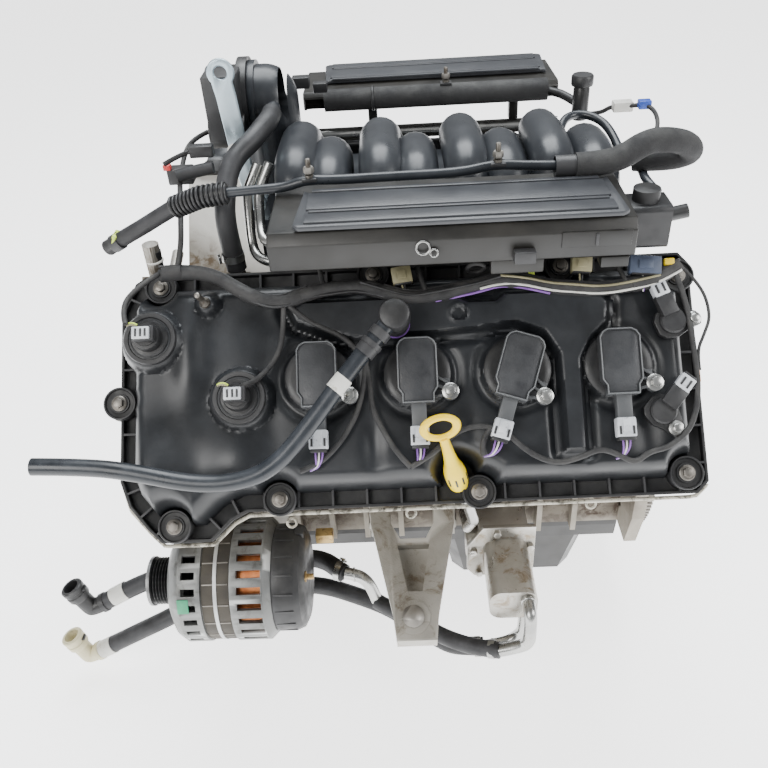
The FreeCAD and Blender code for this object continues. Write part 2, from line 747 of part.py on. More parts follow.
def separator_outline(shift=0.0):
    """(x, t) of the raised oil separator along the valley side and its branch."""
    ring = [(-418, 72), (-402, 80), (-230, 80), (-215, 72), (-200, 78), (-104, 78), (-92, 64),
            (-95, 44), (-118, 26), (-124, 10), (-124, -84), (-146, -84), (-146, 18),
            (-164, 38), (-190, 46), (-228, 40), (-350, 36), (-372, 44)]
    return [(x + shift, t) for x, t in ring]


def cam_cover(bank_x, rear_x):
    """A moulded cam cover in the bank frame, open underneath."""
    rail = slab_z(cover_outline(rear_x), head_top_h, head_top_h + 11)
    crown_inset = 20.0

    def crown(shrink, top):
        low = [V(x, t, head_top_h + 5) for x, t in cover_outline(rear_x, crown_inset + shrink)]
        mid = [V(x, t, top - 14) for x, t in cover_outline(rear_x, crown_inset + 2 + shrink)]
        high = [V(x, t, top) for x, t in cover_outline(rear_x, crown_inset + 12 + shrink)]
        rings = [Part.makePolygon(r + r[:1]) for r in (low, mid, high)]
        return Part.makeLoft(rings, True, True)

    def domes(radius):
        return [bar(radius, dome_x[0] + (dome_r - radius), dome_x[1] - (dome_r - radius),
                    side * cam_t, cam_h) for side in (-1, 1)]

    outside = [rail, crown(0.0, cover_top_h)] + domes(dome_r)
    outside.append(slab_z(separator_outline(bank_x[0] - left_x[0]), cover_top_h - 20, separator_h))
    for x in bank_x:
        outside.append(post(coil_boss_r, x, 0, cover_top_h - 16, cover_top_h + 6))
    for x, t in solenoid_spots:
        outside.append(post(solenoid_boss_r, x, t, cover_top_h - 30, cover_top_h + 16))
    for x, t in cover_bolt_spots:
        outside.append(post(cover_boss_r, x, t, head_top_h, head_top_h + 18))
    body = fused(outside)
    below = block_of(-700, 100, -200, 200, 200, head_top_h)
    body = body.cut(below)
    room = [slab_z(cover_outline(rear_x, 18.0), head_top_h - 1, head_top_h + 8),
            crown(cover_wall, cover_top_h - cover_wall)] + domes(dome_r - cover_wall)
    for x, t in solenoid_spots:
        room.append(post(solenoid_hole_r, x, t, cover_top_h - 20, cover_top_h + 20))
    for x in bank_x:
        room.append(post(plug_well_r, x, 0, head_top_h - 1, cover_top_h + 10))
    body = body.cut(Part.makeCompound(room))
    wells = []
    for x in bank_x:
        tube = post(plug_well_r + 3, x, 0, head_top_h + seat_gap, cover_top_h)
        wells.append(tube.cut(post(plug_well_r, x, 0, head_top_h - 1, cover_top_h + 1)))
    recesses = [post(11.0, x, t, head_top_h + 18, cover_top_h + 20) for x, t in cover_bolt_spots]
    return fused([body] + wells).cut(Part.makeCompound(recesses))


def breather_neck():
    return turned_z([(6.0, separator_h - 1), (9.0, separator_h - 1), (9.0, separator_h + 16),
                     (6.0, separator_h + 16)], *breather_spot)


def cover_bolts():
    bolts = []
    top = head_top_h + 18
    for x, t in cover_bolt_spots:
        bolts.append(hexagon_head(x, t, top, 10.0, 7.0))
    return bolts


coil_top_h = cover_top_h + 6


coil_turns = {left_x[1]: -18.0}   # one coil sits turned in its ear


def ignition_coil(x, turn=0.0):
    """Coil on plug: potted body, stalk down the plug well, fixing ear and plug socket."""
    low = coil_top_h
    outline = [(-20, 30), (-15, 35), (15, 35), (20, 30), (20, -16), (16, -22), (16, -32),
               (-16, -32), (-16, -22), (-20, -16)]
    body = slab_z([(x + a, b) for a, b in outline], low, low + 17)
    ear = bridge_z((x, 0), 16.0, (x + 32, -20), 8.5, low, low + 8)
    stalk = post(12.0, x, 0, valve_seat_h + 57 + seat_gap, low + 1)
    socket = block_of(x - 8, x + 8, -52, -31, low + 1, low + 13)
    coil = fused([body, ear, stalk, socket])
    coil.rotate(V(x, 0, low), Z_AXIS, turn)
    return coil


def bridge_z(c1, r1, c2, r2, z0, z1):
    """Two discs in the XY plane with a tangent web between, extruded along Z."""
    flat = bridge((c1[0], c1[1]), r1, (c2[0], c2[1]), r2, z0, z1)
    flat.rotate(V(0, 0, 0), V(1, 1, 1), -120)
    return flat


def coil_bolt(x, turn=0.0):
    bolt = hexagon_head(x + 32, -20, coil_top_h + 8, 9.0, 6.0)
    bolt.rotate(V(x, 0, 0), Z_AXIS, turn)
    return bolt


def cam_solenoid(x, t):
    """Cam phaser solenoid through its boss, with its plug on top."""
    top = cover_top_h + 16
    body = post(solenoid_hole_r - seat_gap, x, t, top - 26, top + 3)
    nose = post(14.0, x, t, top + 2, top + 12)
    plug = block_of(x - 13, x + 13, t - 8, t + 8, top + 11, top + 25)
    return fused([body, nose, plug])


sensor_spots = [(-31.0, 42.0, 20.0), (-48.0, -48.0, -40.0)]


def cam_sensor(x, t, turn):
    """Cam position sensor: flange plate, puck and plug."""
    low = cover_top_h
    plate = bridge_z((x, t), 17.0, (x + 20, t - 6), 9.0, low, low + 7)
    plug = block_of(x - 9, x + 9, t + 6, t + 34, low + 4, low + 17)
    sensor = fused([plate, plug])
    sensor.rotate(V(x, t, 0), Z_AXIS, turn)
    return sensor


# ------------------------------------------------------------------ intake
runner_r = 22.0
port_t = 112.0
port_rise = 57.0                 # intake ports above the deck
port_h = deck_height + port_rise
injector_tip = (136.0, port_h + 20.0)    # across the bank and up it
rail_at = (152.0, port_h + 96.0)
runner_rise = 431.0              # centreline at the top of the arches
near_flank_y = -126.0
crest_y = -6.0                   # where the crossing runners start down
plenum_top_z = 372.0
plenum_x = (-455.0, -62.0)
near_top_x = [-88.0 - 95.0 * i for i in range(cylinders)]
crossing_top_x = [-134.0 - 91.3 * i for i in range(cylinders)]


def near_runner(x, top_x):
    """From the left head's port, up and over into the middle of the plenum."""
    _, y0, z0 = bank_point(0, port_t + 12, port_h)
    return pipe([(x, y0, z0), (x, near_flank_y, z0 + 42), (top_x, near_flank_y, runner_rise - 10),
                 (top_x, -28.0, runner_rise - 10), (top_x, -28.0, plenum_top_z - 20)], runner_r, 42.0)


def crossing_runner(x, top_x):
    """From the plenum's left flank, over the top and down to the right head's port."""
    _, y0, z0 = bank_point(0, port_t + 12, port_h, 1)
    return pipe([(top_x, near_flank_y, plenum_top_z - 44), (top_x, near_flank_y, runner_rise),
                 (top_x, crest_y, runner_rise), (x, 104.0, z0 + 64), (x, y0, z0)], runner_r, 44.0)


def port_flange(bank_x):
    """The manifold's foot along a head, in the bank frame."""
    plate = block_of(bank_x[-1] - 42, bank_x[0] + 42, port_t + seat_gap, port_t + 14,
                     port_h - 21, port_h + 21)
    return plate


throttle_x = (-518.0, -468.0)
throttle_y = 38.0
throttle_z = 468.0
throttle_bore_r = 33.0
throttle_shaft_x = -488.0
neck_corner_x = -452.0
outlet_hose_x = -440.0
spigot_y = -13.5
plenum_nose_x = -492.0           # the plenum reaches forward under the neck


def intake_manifold():
    half = [(-92.0, 312.0), (-112.0, 330.0), (-112.0, 356.0), (-96.0, plenum_top_z)]
    plenum = slab_x(both_sides(half), *plenum_x)
    body = [plenum]
    body += [near_runner(*pair) for pair in zip(left_x, near_top_x)]
    body += [crossing_runner(*pair) for pair in zip(right_x, crossing_top_x)]
    body += [leaned(port_flange(left_x)), on_right(leaned(port_flange(right_x)))]
    neck_r = throttle_bore_r + 5
    under = [slab_x(both_sides([(-20.0, 312.0), (-30.0, 326.0), (-30.0, 356.0), (-20.0, plenum_top_z)]),
                    plenum_nose_x, plenum_x[0] + 4)]
    under[0].translate(V(0, throttle_y - 8.0, 0))
    body += under
    neck = bar(neck_r, throttle_x[1], neck_corner_x, throttle_y, throttle_z)
    elbow = Part.makeSphere(neck_r, V(neck_corner_x, throttle_y, throttle_z))
    drop = post(neck_r, neck_corner_x, throttle_y, plenum_top_z - 10, throttle_z)
    ring = bar(throttle_bore_r + 10, throttle_x[1], throttle_x[1] + 8, throttle_y, throttle_z)
    spigot = stud(8.0, (outlet_hose_x, spigot_y, throttle_z - 2), (0, 1, 0), throttle_y - spigot_y - neck_r + 14)
    body += [neck, elbow, drop, ring, spigot]
    manifold = body[0]
    for piece in body[1:]:
        manifold = manifold.fuse(piece)
    for place in (leaned, lambda shape: on_right(leaned(shape))):
        clear = [block_of(-500, 20, 60, port_t + seat_gap, port_h - 44, port_h + 116),
                 block_of(-500, 20, 60, head_half_width + seat_gap, port_h + 22, port_h + 116)]
        for shape in clear:
            manifold = manifold.cut(place(shape))
    ahead = block_of(throttle_x[0] - 40, throttle_x[1], throttle_y - 80, throttle_y + 80,
                     throttle_z - throttle_bore_r - 17, throttle_z + 80)
    manifold = manifold.cut(ahead)
    return manifold.cut(bar(throttle_bore_r, throttle_x[1] - 1, throttle_x[1] + 44,
                            throttle_y, throttle_z))


def throttle_body():
    x0, x1 = throttle_x
    barrel = bar(throttle_bore_r + 6, x0, x1 - seat_gap, throttle_y, throttle_z)
    flange = bar(throttle_bore_r + 14, x1 - 12, x1 - seat_gap, throttle_y, throttle_z)
    gearbox = block_of(x0 + 6, x1 - 6, throttle_y - 66, throttle_y - 26, throttle_z - 26, throttle_z + 44)
    motor = bar(19.0, x0 + 4, x1 - 4, throttle_y - 46, throttle_z - 22)
    body = fused([barrel, flange, gearbox, motor])
    body = body.cut(bar(throttle_bore_r, x0 - 1, x1 + 1, throttle_y, throttle_z))
    hole = Part.makeCylinder(5.05, 140, V(throttle_shaft_x, throttle_y - 54, throttle_z), V(0, 1, 0))
    return body.cut(hole)


def throttle_plate():
    """The butterfly on its shaft, closed at rest."""
    shaft_x = throttle_shaft_x
    shaft = Part.makeCylinder(5.0, 84, V(shaft_x, throttle_y - 42, throttle_z), V(0, 1, 0))
    disc = bar(throttle_bore_r - 0.4, shaft_x - 1.2, shaft_x + 1.2, throttle_y, throttle_z)
    return fused([shaft, disc])


rail_cover_x = (-422.0, -82.0)


def rail_cover():
    """Acoustic box over the left fuel rail: a front wall, a roof and two ends, open to the valley."""
    outline = [(-152.0, 430.0), (-158.0, 436.0), (-262.0, 434.0), (-270.0, 424.0), (-270.0, 398.0),
               (-214.0, 398.0), (-152.0, 414.0)]
    shell = slab_x(outline, *rail_cover_x)
    inner = [(-150.0, 426.0), (-158.0, 432.0), (-260.0, 430.0), (-266.0, 422.0), (-266.0, 350.0),
             (-150.0, 350.0)]
    shell = shell.cut(slab_x(inner, rail_cover_x[0] + 4, rail_cover_x[1] - 4))
    rail_y, rail_z = bank_point(0, *rail_at)[1:]
    clips = [block_of(x - 6, x + 6, rail_y - 8, rail_y + 7, rail_z + 9.0 + seat_gap, 429.0)
             for x in (rail_cover_x[0] + 92, rail_cover_x[1] - 58)]
    return fused([shell] + clips)


def top_plate():
    """Grooved trim plate on the acoustic box, bare of any lettering."""
    outline = [(-183.0, 436.3), (-187.0, 444.0), (-260.0, 443.0), (-266.0, 437.0), (-263.0, 434.4),
               (-172.0, 436.3)]
    plate = slab_x(outline, -392.0, -94.0)
    grooves = [block_of(-380.0, -108.0, y, y + 3.0, 442.0, 446.0) for y in (-196.0, -234.0, -250.0)]
    return plate.cut(Part.makeCompound(grooves))


def fuel_rail(bank_x):
    """Fuel rail with its four injectors, in the bank frame, down into the manifold's feet."""
    body = [bar(9.0, bank_x[-1] - 36, bank_x[0] + 30, *rail_at)]
    for x in bank_x:
        way = V(0, injector_tip[0] - rail_at[0], injector_tip[1] - rail_at[1])
        body.append(Part.makeCylinder(6.5, way.Length, V(x, *rail_at), way))
    return fused(body)


# ------------------------------------------------------------------ front drive
pump_z = 158.0
pump_pulley_r = 60.0
idler_at = (118.0, 80.0)
idler_r = 30.0
tensioner_at = (-112.0, 92.0)
belt_pad = 14.0                  # how far the idler's and tensioner's pads stand off the cover
tensioner_r = 32.0
arm_pivot = (-172.0, 110.0)
belt_x = (-650.0, -626.0)


def grooved_rim(radius, x0, x1, grooves=6, depth=3.0, pitch=3.56):
    """(x, radius) outline of a ribbed belt rim."""
    middle = (x0 + x1) / 2
    first = middle - pitch * grooves / 2
    rim = [(x0, radius - depth), (x0, radius + 1.5), (first - 0.6, radius + 1.5), (first - 0.6, radius)]
    for i in range(grooves):
        x = first + pitch * i
        rim += [(x, radius), (x + pitch / 2, radius - depth)]
    rim += [(first + pitch * grooves, radius), (first + pitch * grooves + 0.6, radius),
            (first + pitch * grooves + 0.6, radius + 1.5), (x1, radius + 1.5), (x1, radius - depth)]
    return rim


def crank_damper():
    x0, x1 = damper_face_x, belt_x[1] + 4
    profile = [(x0 + 6, nose_r + 0.0), (x0 + 6, 34.0), (x0 + 14, 38.0), (x0 + 14, damper_r - 16),
               (x0, damper_r - 12)] + grooved_rim(damper_r - 1.5, x0, x1) + [
               (x1, damper_r - 14), (x1 - 12, damper_r - 16), (x1 - 12, 38.0), (x1, front_seal_r - 1),
               (x1 + 26, front_seal_r - 1),
               (x1 + 26, nose_r)]
    return turned_x(profile)


def water_pump():
    """Pump housing on the front cover, hollow round its shaft."""
    x0, x1 = timing_face_x - 24, timing_face_x - 10 - seat_gap
    drum = bar(44.0, x0, x1, 0, pump_z)
    neck = bar(17.0, x0 - 8, x0 + 1, 0, pump_z)
    outlet = pipe([(x0 + 5, 0, pump_z + 30), (x0 + 5, 34.0, pump_z + 66), (x0 + 5, 92.0, pump_z + 84)],
                  8.0, 30.0)
    ears = [bar(8.0, x0 + 4, x1, 50 * math.cos(a), pump_z + 50 * math.sin(a))
            for a in (math.radians(d) for d in (40, 140, 215, 325))]
    return fused([drum, neck, outlet] + ears).cut(bar(9.05, x0 - 10, x1 + 1, 0, pump_z))


def pump_pulley():
    x0, x1 = belt_x
    cup = turned_x([(x0, 0), (x0, 34), (x0 + 4, 36), (x0 + 4, pump_pulley_r - 6)] +
                   grooved_rim(pump_pulley_r - 1.5, x0, x1)[1:-1] +
                   [(x1, pump_pulley_r - 6), (x0 + 8, pump_pulley_r - 7), (x0 + 8, 18), (x0 + 14, 9),
                    (timing_face_x - 12, 9), (timing_face_x - 12, 0)], 0, pump_z)
    return cup


def smooth_pulley(radius, y, z):
    x0, x1 = belt_x
    return turned_x([(x0 + 6, 8.05), (x0 + 6, radius - 6), (x0, radius - 4), (x0, radius), (x1, radius),
                     (x1, radius - 4), (x1 - 8, radius - 6), (x1 - 8, 8.05)], y, z)


def idler_post():
    y, z = idler_at
    post_x = timing_face_x - belt_pad
    return fused([bar(8.0, belt_x[0] - 2, post_x, y, z), bar(14.0, belt_x[1] - 6, post_x, y, z),
                  bar(12.0, belt_x[0] - 6, belt_x[0] + 4, y, z)])


def tensioner_case():
    """Spring case of the tensioner on its pad, with the pivot its arm swings on."""
    case = bar(24.0, belt_x[1] + 10, timing_face_x - belt_pad, *arm_pivot)
    return fused([case, bar(9.0, belt_x[1] - 4, belt_x[1] + 11, *arm_pivot)])


def tensioner_arm():
    """The arm, on the case's pivot, with the spindle its pulley turns on."""
    y, z = tensioner_at
    arm = bridge(arm_pivot, 18.0, (y, z), 13.0, belt_x[1] + seat_gap, belt_x[1] + 10 - seat_gap)
    arm = fused([arm, bar(8.0, belt_x[0] - 2, belt_x[1] + 2, y, z),
                 bar(12.0, belt_x[0] - 6, belt_x[0] + 4, y, z)])
    return arm.cut(bar(9.0 + running_clearance, belt_x[1] - 8, belt_x[1] + 12, *arm_pivot))


# ------------------------------------------------------------------ alternator
alt_y = -285.0
alt_z = -13.0
alt_x = (-590.0, -430.0)
alt_r = 73.0
alt_shaft_r = 8.5
alt_pulley_r = 30.0
alt_pulley_x = (-622.0, -592.0)
alt_lugs = ((-207.5, 26.0), (-203.0, -58.0))
alt_lug_r = 12.5
slot_count = 24


def alternator_housing():
    """Two slotted end brackets with the stator between them and a closed cover behind."""
    x0, x1 = alt_x
    front, band, rear, tail = x0 + 44, x0 + 78, x0 + 124, x1
    shell = turned_x([(x0, 20.0), (x0, 50.0), (x0 + 8, 66.0), (x0 + 18, alt_r), (front, alt_r),
                      (front, alt_r - 4), (band, alt_r - 4), (band, alt_r), (rear - 8, alt_r),
                      (rear, alt_r - 8), (rear, alt_r - 11), (tail - 6, alt_r - 13), (tail, alt_r - 24),
                      (tail, 0), (tail - 6, 0), (tail - 6, alt_r - 28), (rear, alt_r - 22),
                      (rear, alt_r - 12), (band + 30, alt_r - 6), (band, alt_r - 6), (band, 54.0),
                      (front, 54.0), (front, alt_r - 6), (x0 + 18, alt_r - 6), (x0 + 9, 58.0),
                      (x0 + 7, 20.0)], alt_y, alt_z)
    nose = seal_ring(22.0, alt_shaft_r + running_clearance, x0 - 1, x0 + 12)
    nose.translate(V(0, alt_y, alt_z))
    body = fused([shell, nose])
    cuts = []
    for i in range(slot_count):
        a = 360.0 * (i + 0.5) / slot_count
        for s0, s1 in ((x0 + 22, front - 6), (band + 8, rear - 10)):
            slot = block_of(s0, s1, -4.2, 4.2, alt_r - 9, alt_r + 4)
            slot.rotate(V(0, 0, 0), X_AXIS, a)
            slot.translate(V(0, alt_y, alt_z))
            cuts.append(slot)
    body = body.cut(Part.makeCompound(cuts))
    ears = []
    for y, z in alt_lugs:
        ears.append(bridge((alt_y + (y - alt_y) * 0.62, alt_z + (z - alt_z) * 0.62), 22.0, (y, z),
                           alt_lug_r, x0 + 14, front - 2))
    inside = bar(alt_r - 6.5, x0 + 9, front + 1, alt_y, alt_z)
    return fused([body, fused(ears).cut(inside)])


def alternator_rotor():
    """Pulley, shaft, fans and claw drum in one turning piece."""
    p0, p1 = alt_pulley_x
    x0, x1 = alt_x
    rim = grooved_rim(alt_pulley_r - 1.5, p0, p1)
    profile = [(p0 + 4, 0), (p0 + 4, 14), (p0, 18)] + rim + [(p1 - 2, 12), (p1 - 2, alt_shaft_r),
              (x0 + 18, alt_shaft_r), (x0 + 18, 44), (x0 + 40, 50), (x0 + 82, 50), (x0 + 104, 44),
              (x0 + 104, alt_shaft_r), (x1 - 24, alt_shaft_r), (x1 - 24, 0)]
    return turned_x(profile, alt_y, alt_z)


def alternator_bracket():
    """Casting that hugs the front cover's flank and takes the alternator's two bolts."""
    x0, x1 = alt_x[0] + 44 - 2 + seat_gap, alt_x[0] + 44 + 46
    wall = -skirt_half_width - seat_gap
    outline = [(wall, -72.0), (wall, 4.0), (-200.0, 45.0), (-222.0, 40.0), (-214.0, 14.0),
               (-176.0, 2.0), (-176.0, -40.0), (-192.0, -46.0), (-206.0, -72.0)]
    arm = slab_x(outline, x0 + 6, x1)
    bosses = [bar(alt_lug_r, x0, x0 + 34, y, z) for y, z in alt_lugs]
    return fused([arm] + bosses)


def alternator_bolts():
    return [hexagon_head(alt_x[0] + 14 - seat_gap, y, z, 13.0, 9.0, (-1, 0, 0)) for y, z in alt_lugs]


# ------------------------------------------------------------------ left side: mount and oil cooler
mount_x = -300.0
mount_reach = 204.0
mount_slope = 25.0
mount_stud_r = 6.0


def engine_mount():
    """Two tapered arms that reach down and out from the block and close on the stud's pad."""
    reach = mount_reach
    half_top, half_tip = 56.0, 24.0
    outline = [(-half_top, 0), (half_top, 0), (half_top - 4, 60), (half_tip + 4, reach - 34),
               (half_tip, reach), (-half_tip, reach), (-half_tip - 4, reach - 34), (-half_top + 4, 60)]
    plate = slab_z([(x, -v) for x, v in outline], -34.0, 0.0)
    window = slab_z([(-30, 10), (30, 10), (27, -60), (16, -80), (-16, -80), (-27, -60)], -40, 1)
    recess = slab_z([(-20, -88), (20, -88), (9, -146), (-9, -146)], -20, 1)
    under = slab_z([(-half_top - 2, 1), (half_top + 2, 1), (half_top + 2, -100), (-half_top - 2, -100)],
                   -40, -18)
    under.rotate(V(0, -100, -18), X_AXIS, 8)
    plate = plate.cut(window).cut(recess)
    pad = post(20.0, -3.0, -(reach - 27), -3.0, 3.0)
    plate = fused([plate, pad]).cut(post(mount_stud_r + 0.4, -3.0, -(reach - 27), -60.0, 10.0))
    plate.rotate(V(0, 0, 0), X_AXIS, mount_slope)
    plate.translate(V(mount_x, -skirt_half_width - 24, 38.0))
    wall = -skirt_half_width - 16 - seat_gap
    feet = []
    for dx in (-44.0, 44.0):
        for z in (28.0, -34.0):
            feet.append(stud(15.0, (mount_x + dx, wall, z - 2), (0, -1, 0), 20))
        feet.append(block_of(mount_x + dx - 11, mount_x + dx + 11, wall - 34, wall, -40.0, 26.0))
    body = fused([plate] + feet)
    return body.cut(block_of(-600, 0, wall, 100, -200, 200))


def mount_bolt():
    """The big round headed bolt through the mount's pad."""
    head = fused([post(13.0, -3.0, -(mount_reach - 27), 3.0 + seat_gap, 8.0),
                  post(mount_stud_r, -3.0, -(mount_reach - 27), -52.0, 4.0)])
    head.rotate(V(0, 0, 0), X_AXIS, mount_slope)
    head.translate(V(mount_x, -skirt_half_width - 24, 38.0))
    return head


cooler_plate_y = -212.0
cooler_x = -179.5
cooler_size = (59.0, 86.0, 48.0)
cooler_mid_z = -60.0


def oil_filter_adapter():
    """Casting on the block's flank that carries the oil cooler."""
    wall = -skirt_half_width - 16 - seat_gap
    x0, x1 = cooler_x - 42, cooler_x + 38
    back = block_of(x0 + 8, x1 - 8, cooler_plate_y + seat_gap, wall, cooler_mid_z - 30, cooler_mid_z + 36)
    ear = bar(20.0, x0 - 8, x0 + 30, (wall + cooler_plate_y) / 2, cooler_mid_z - 6)
    filter_neck = Part.makeCylinder(20.0, 42, V(x1 - 30, (wall + cooler_plate_y) / 2 - 1, cooler_mid_z - 28),
                                    V(0, 0, -1))
    return fused([back, ear, filter_neck])


def oil_cooler():
    """Plate oil cooler: a rounded can on a four bolt flange."""
    w, d, h = cooler_size
    y0 = cooler_plate_y - 6
    x = cooler_x
    flange = slab_y([(x - 50, cooler_mid_z + 12), (x - 30, cooler_mid_z + 46), (x + 38, cooler_mid_z + 46),
                     (x + 38, cooler_mid_z - 44), (x - 40, cooler_mid_z - 44), (x - 50, cooler_mid_z - 30)],
                    y0, cooler_plate_y)
    r = 16.0
    can = slab_y([(x - w / 2, cooler_mid_z - h / 2), (x + w / 2, cooler_mid_z - h / 2),
                  (x + w / 2, cooler_mid_z + h / 2), (x - w / 2, cooler_mid_z + h / 2)], y0 - d, y0)
    long_edges = [e for e in can.Edges if abs(e.Vertexes[0].Y - e.Vertexes[-1].Y) > d / 2]
    can = can.makeFillet(r, long_edges)
    bolts = [hexagon_head(x + dx, y0, cooler_mid_z + dz, 9.0, 6.0, (0, -1, 0))
             for dx, dz in ((-12, 38), (-42, 6), (32, 12), (-34, -36))]
    return fused([flange, can] + bolts)


cooler_end_y = cooler_plate_y - 6 - cooler_size[1]


cooler_pipe_r = 8.0
upper_pipe = [(-162.0, cooler_end_y - seat_gap, -50.0), (-162.0, cooler_end_y - 22, -50.0),
              (-162.0, cooler_end_y - 26, -104.0), (-196.0, cooler_end_y - 20, -122.0)]
cooler_foot_z = cooler_mid_z - cooler_size[2] / 2
lower_pipe = [(-162.0, cooler_end_y + 16, cooler_foot_z - seat_gap), (-162.0, cooler_end_y + 16, -132.0),
              (-182.0, cooler_end_y + 12, -152.0), (-214.0, cooler_end_y + 8, -152.0)]


def end_of(points, length=0.0):
    """A point past the end of a route, straight on."""
    a, b = V(*points[-2]), V(*points[-1])
    return tuple(b + (b - a).normalize() * length)


hose_r = 12.0
hard_pipe = [(-392.0, -230.0, -76.0), (-370.0, -234.0, -80.0), (-357.0, -238.0, -100.0),
             (-352.0, -242.0, -119.0)]
upper_hose = [(-722.0, -236.0, -110.0), (-655.0, -222.0, -84.0), (-590.0, -196.0, -84.0),
              (-440.0, -192.0, -84.0), (-414.0, -226.0, -72.0), end_of(hard_pipe[::-1], seat_gap)]
lower_hose = [(-750.0, -245.0, -204.0), (-640.0, -236.0, -146.0), (-560.0, -204.0, -122.0),
              (-430.0, -198.0, -134.0), (-340.0, -212.0, -172.0), (-270.0, -282.0, -156.0),
              end_of(lower_pipe, 22.0), end_of(lower_pipe, seat_gap)]
upper_tail = [end_of(hard_pipe, seat_gap), end_of(hard_pipe, 12.0), (-310.0, -272.0, -118.0),
              (-262.0, -300.0, -128.0), end_of(upper_pipe, 20.0), end_of(upper_pipe, seat_gap)]


def quick_connector(route_back, lift):
    """Elbow on a hose's end: collar, bend and an open socket that looks up and forward."""
    start = V(*end_of(route_back, seat_gap))
    corner = V(*end_of(route_back, 20.0))
    mouth = corner + V(*lift).normalize() * 34
    body = pipe([tuple(start), tuple(corner), tuple(mouth)], hose_r, 16.0)
    way = (mouth - corner).normalize()
    socket = Part.makeCylinder(hose_r + 3, 22.0, corner + way * 26, way)
    hollow = Part.makeCylinder(hose_r - 2, 30.0, corner + way * 24, way)
    return fused([body, socket]).cut(hollow)


# ------------------------------------------------------------------ hoses and pipes on top
breather_r = 8.5
breather_start = bank_point(breather_spot[0], breather_spot[1], separator_h + 17)


def over_cover(x, t, rise):
    return bank_point(x, t, cover_top_h + rise)


breather_route = [bank_point(*breather_spot, separator_h + 42), over_cover(-358, -8, 50), over_cover(-403, -64, 44),
                  over_cover(-452, -100, 40), over_cover(-500, -104, 38), over_cover(-568, -88, 40),
                  over_cover(-662, -80, 42)]


def breather_hose():
    """Moulded tube with its swivel elbow on the separator's neck."""
    x, t = breather_spot
    tube = pipe(breather_route, breather_r, [26.0, 60.0, 60.0, 60.0, 60.0])
    drum = leaned(turned_z([(9.4, separator_h + seat_gap), (13.0, separator_h + seat_gap),
                            (13.0, separator_h + 30), (15.0, separator_h + 31), (15.0, separator_h + 54),
                            (0, separator_h + 54), (0, separator_h + 16 + seat_gap),
                            (9.4, separator_h + 16 + seat_gap)], x, t))
    return fused([tube, drum])


rail_tube_points = [(-470.0, -176.0, 440.0), (-412.0, -176.0, 442.5), (-388.0, -177.0, 450.0),
                    (-362.0, -177.0, 448.0), (-300.0, -177.0, 449.0), (-236.0, -177.0, 449.0),
                    (-202.0, -177.0, 456.0), (-166.0, -177.0, 452.0), (-109.0, -176.0, 450.0)]
rail_tube_r = 5.0
cuff_r = 11.5
cuff_points = [(-470.4, -176.0, 440.0), (-500.0, -175.0, 438.0), (-530.0, -170.0, 424.0)]
tail_r = 8.5
foam_r = 12.0
foam_points = [(-109.6, -176.0, 450.0), (-80.0, -174.0, 453.0), (-52.0, -160.0, 466.0),
               (-10.0, -150.0, 458.0), (6.0, -136.0, 440.0), (-20.0, -118.0, 426.0), (-46.0, -104.0, 424.0)]
far_pipe_r = 14.0
far_pipe_y = 152.0 - seat_gap - far_pipe_r
far_pipe_points = [(-392.0, far_pipe_y, 430.0), (-100.0, far_pipe_y, 430.0)]
silver_pipes = [[(-449.0, -101.0, 440.0), (-464.0, -110.0, 412.0), (-463.0, -132.0, 364.0),
                 (-454.0, -152.0, 352.0), (-428.0, -162.0, 350.0)],
                [(-436.0, -101.0, 440.0), (-451.0, -110.0, 412.0), (-450.0, -134.0, 384.0),
                 (-444.0, -160.0, 373.0), (-424.2, -161.2, 373.0)]]
silver_r = 5.5

# ------------------------------------------------------------------ wiring
trunk_r = 11.0
trunk_gap = 4.0                  # loom above the cover's crown
trunk_h = cover_top_h + trunk_r + trunk_gap
trunk_points = [(-548.0, 130.0, trunk_h - 39.0), (-500.0, 126.0, trunk_h - 19.0), (-452.0, 108.0, trunk_h), (-395.0, 90.0, trunk_h),
                (-300.0, 92.0, trunk_h), (-235.0, 92.0, trunk_h), (-170.0, 92.0, trunk_h),
                (-110.0, 92.0, trunk_h), (-55.0, 96.0, trunk_h), (-22.0, 112.0, trunk_h - 7.0)]
lead_r = 3.5


def coil_plug_at(x, turn):
    """Where the middle of a coil's plug comes, across and along the cover."""
    a = math.radians(turn)
    return x + 63.0 * math.sin(a), -63.0 * math.cos(a)


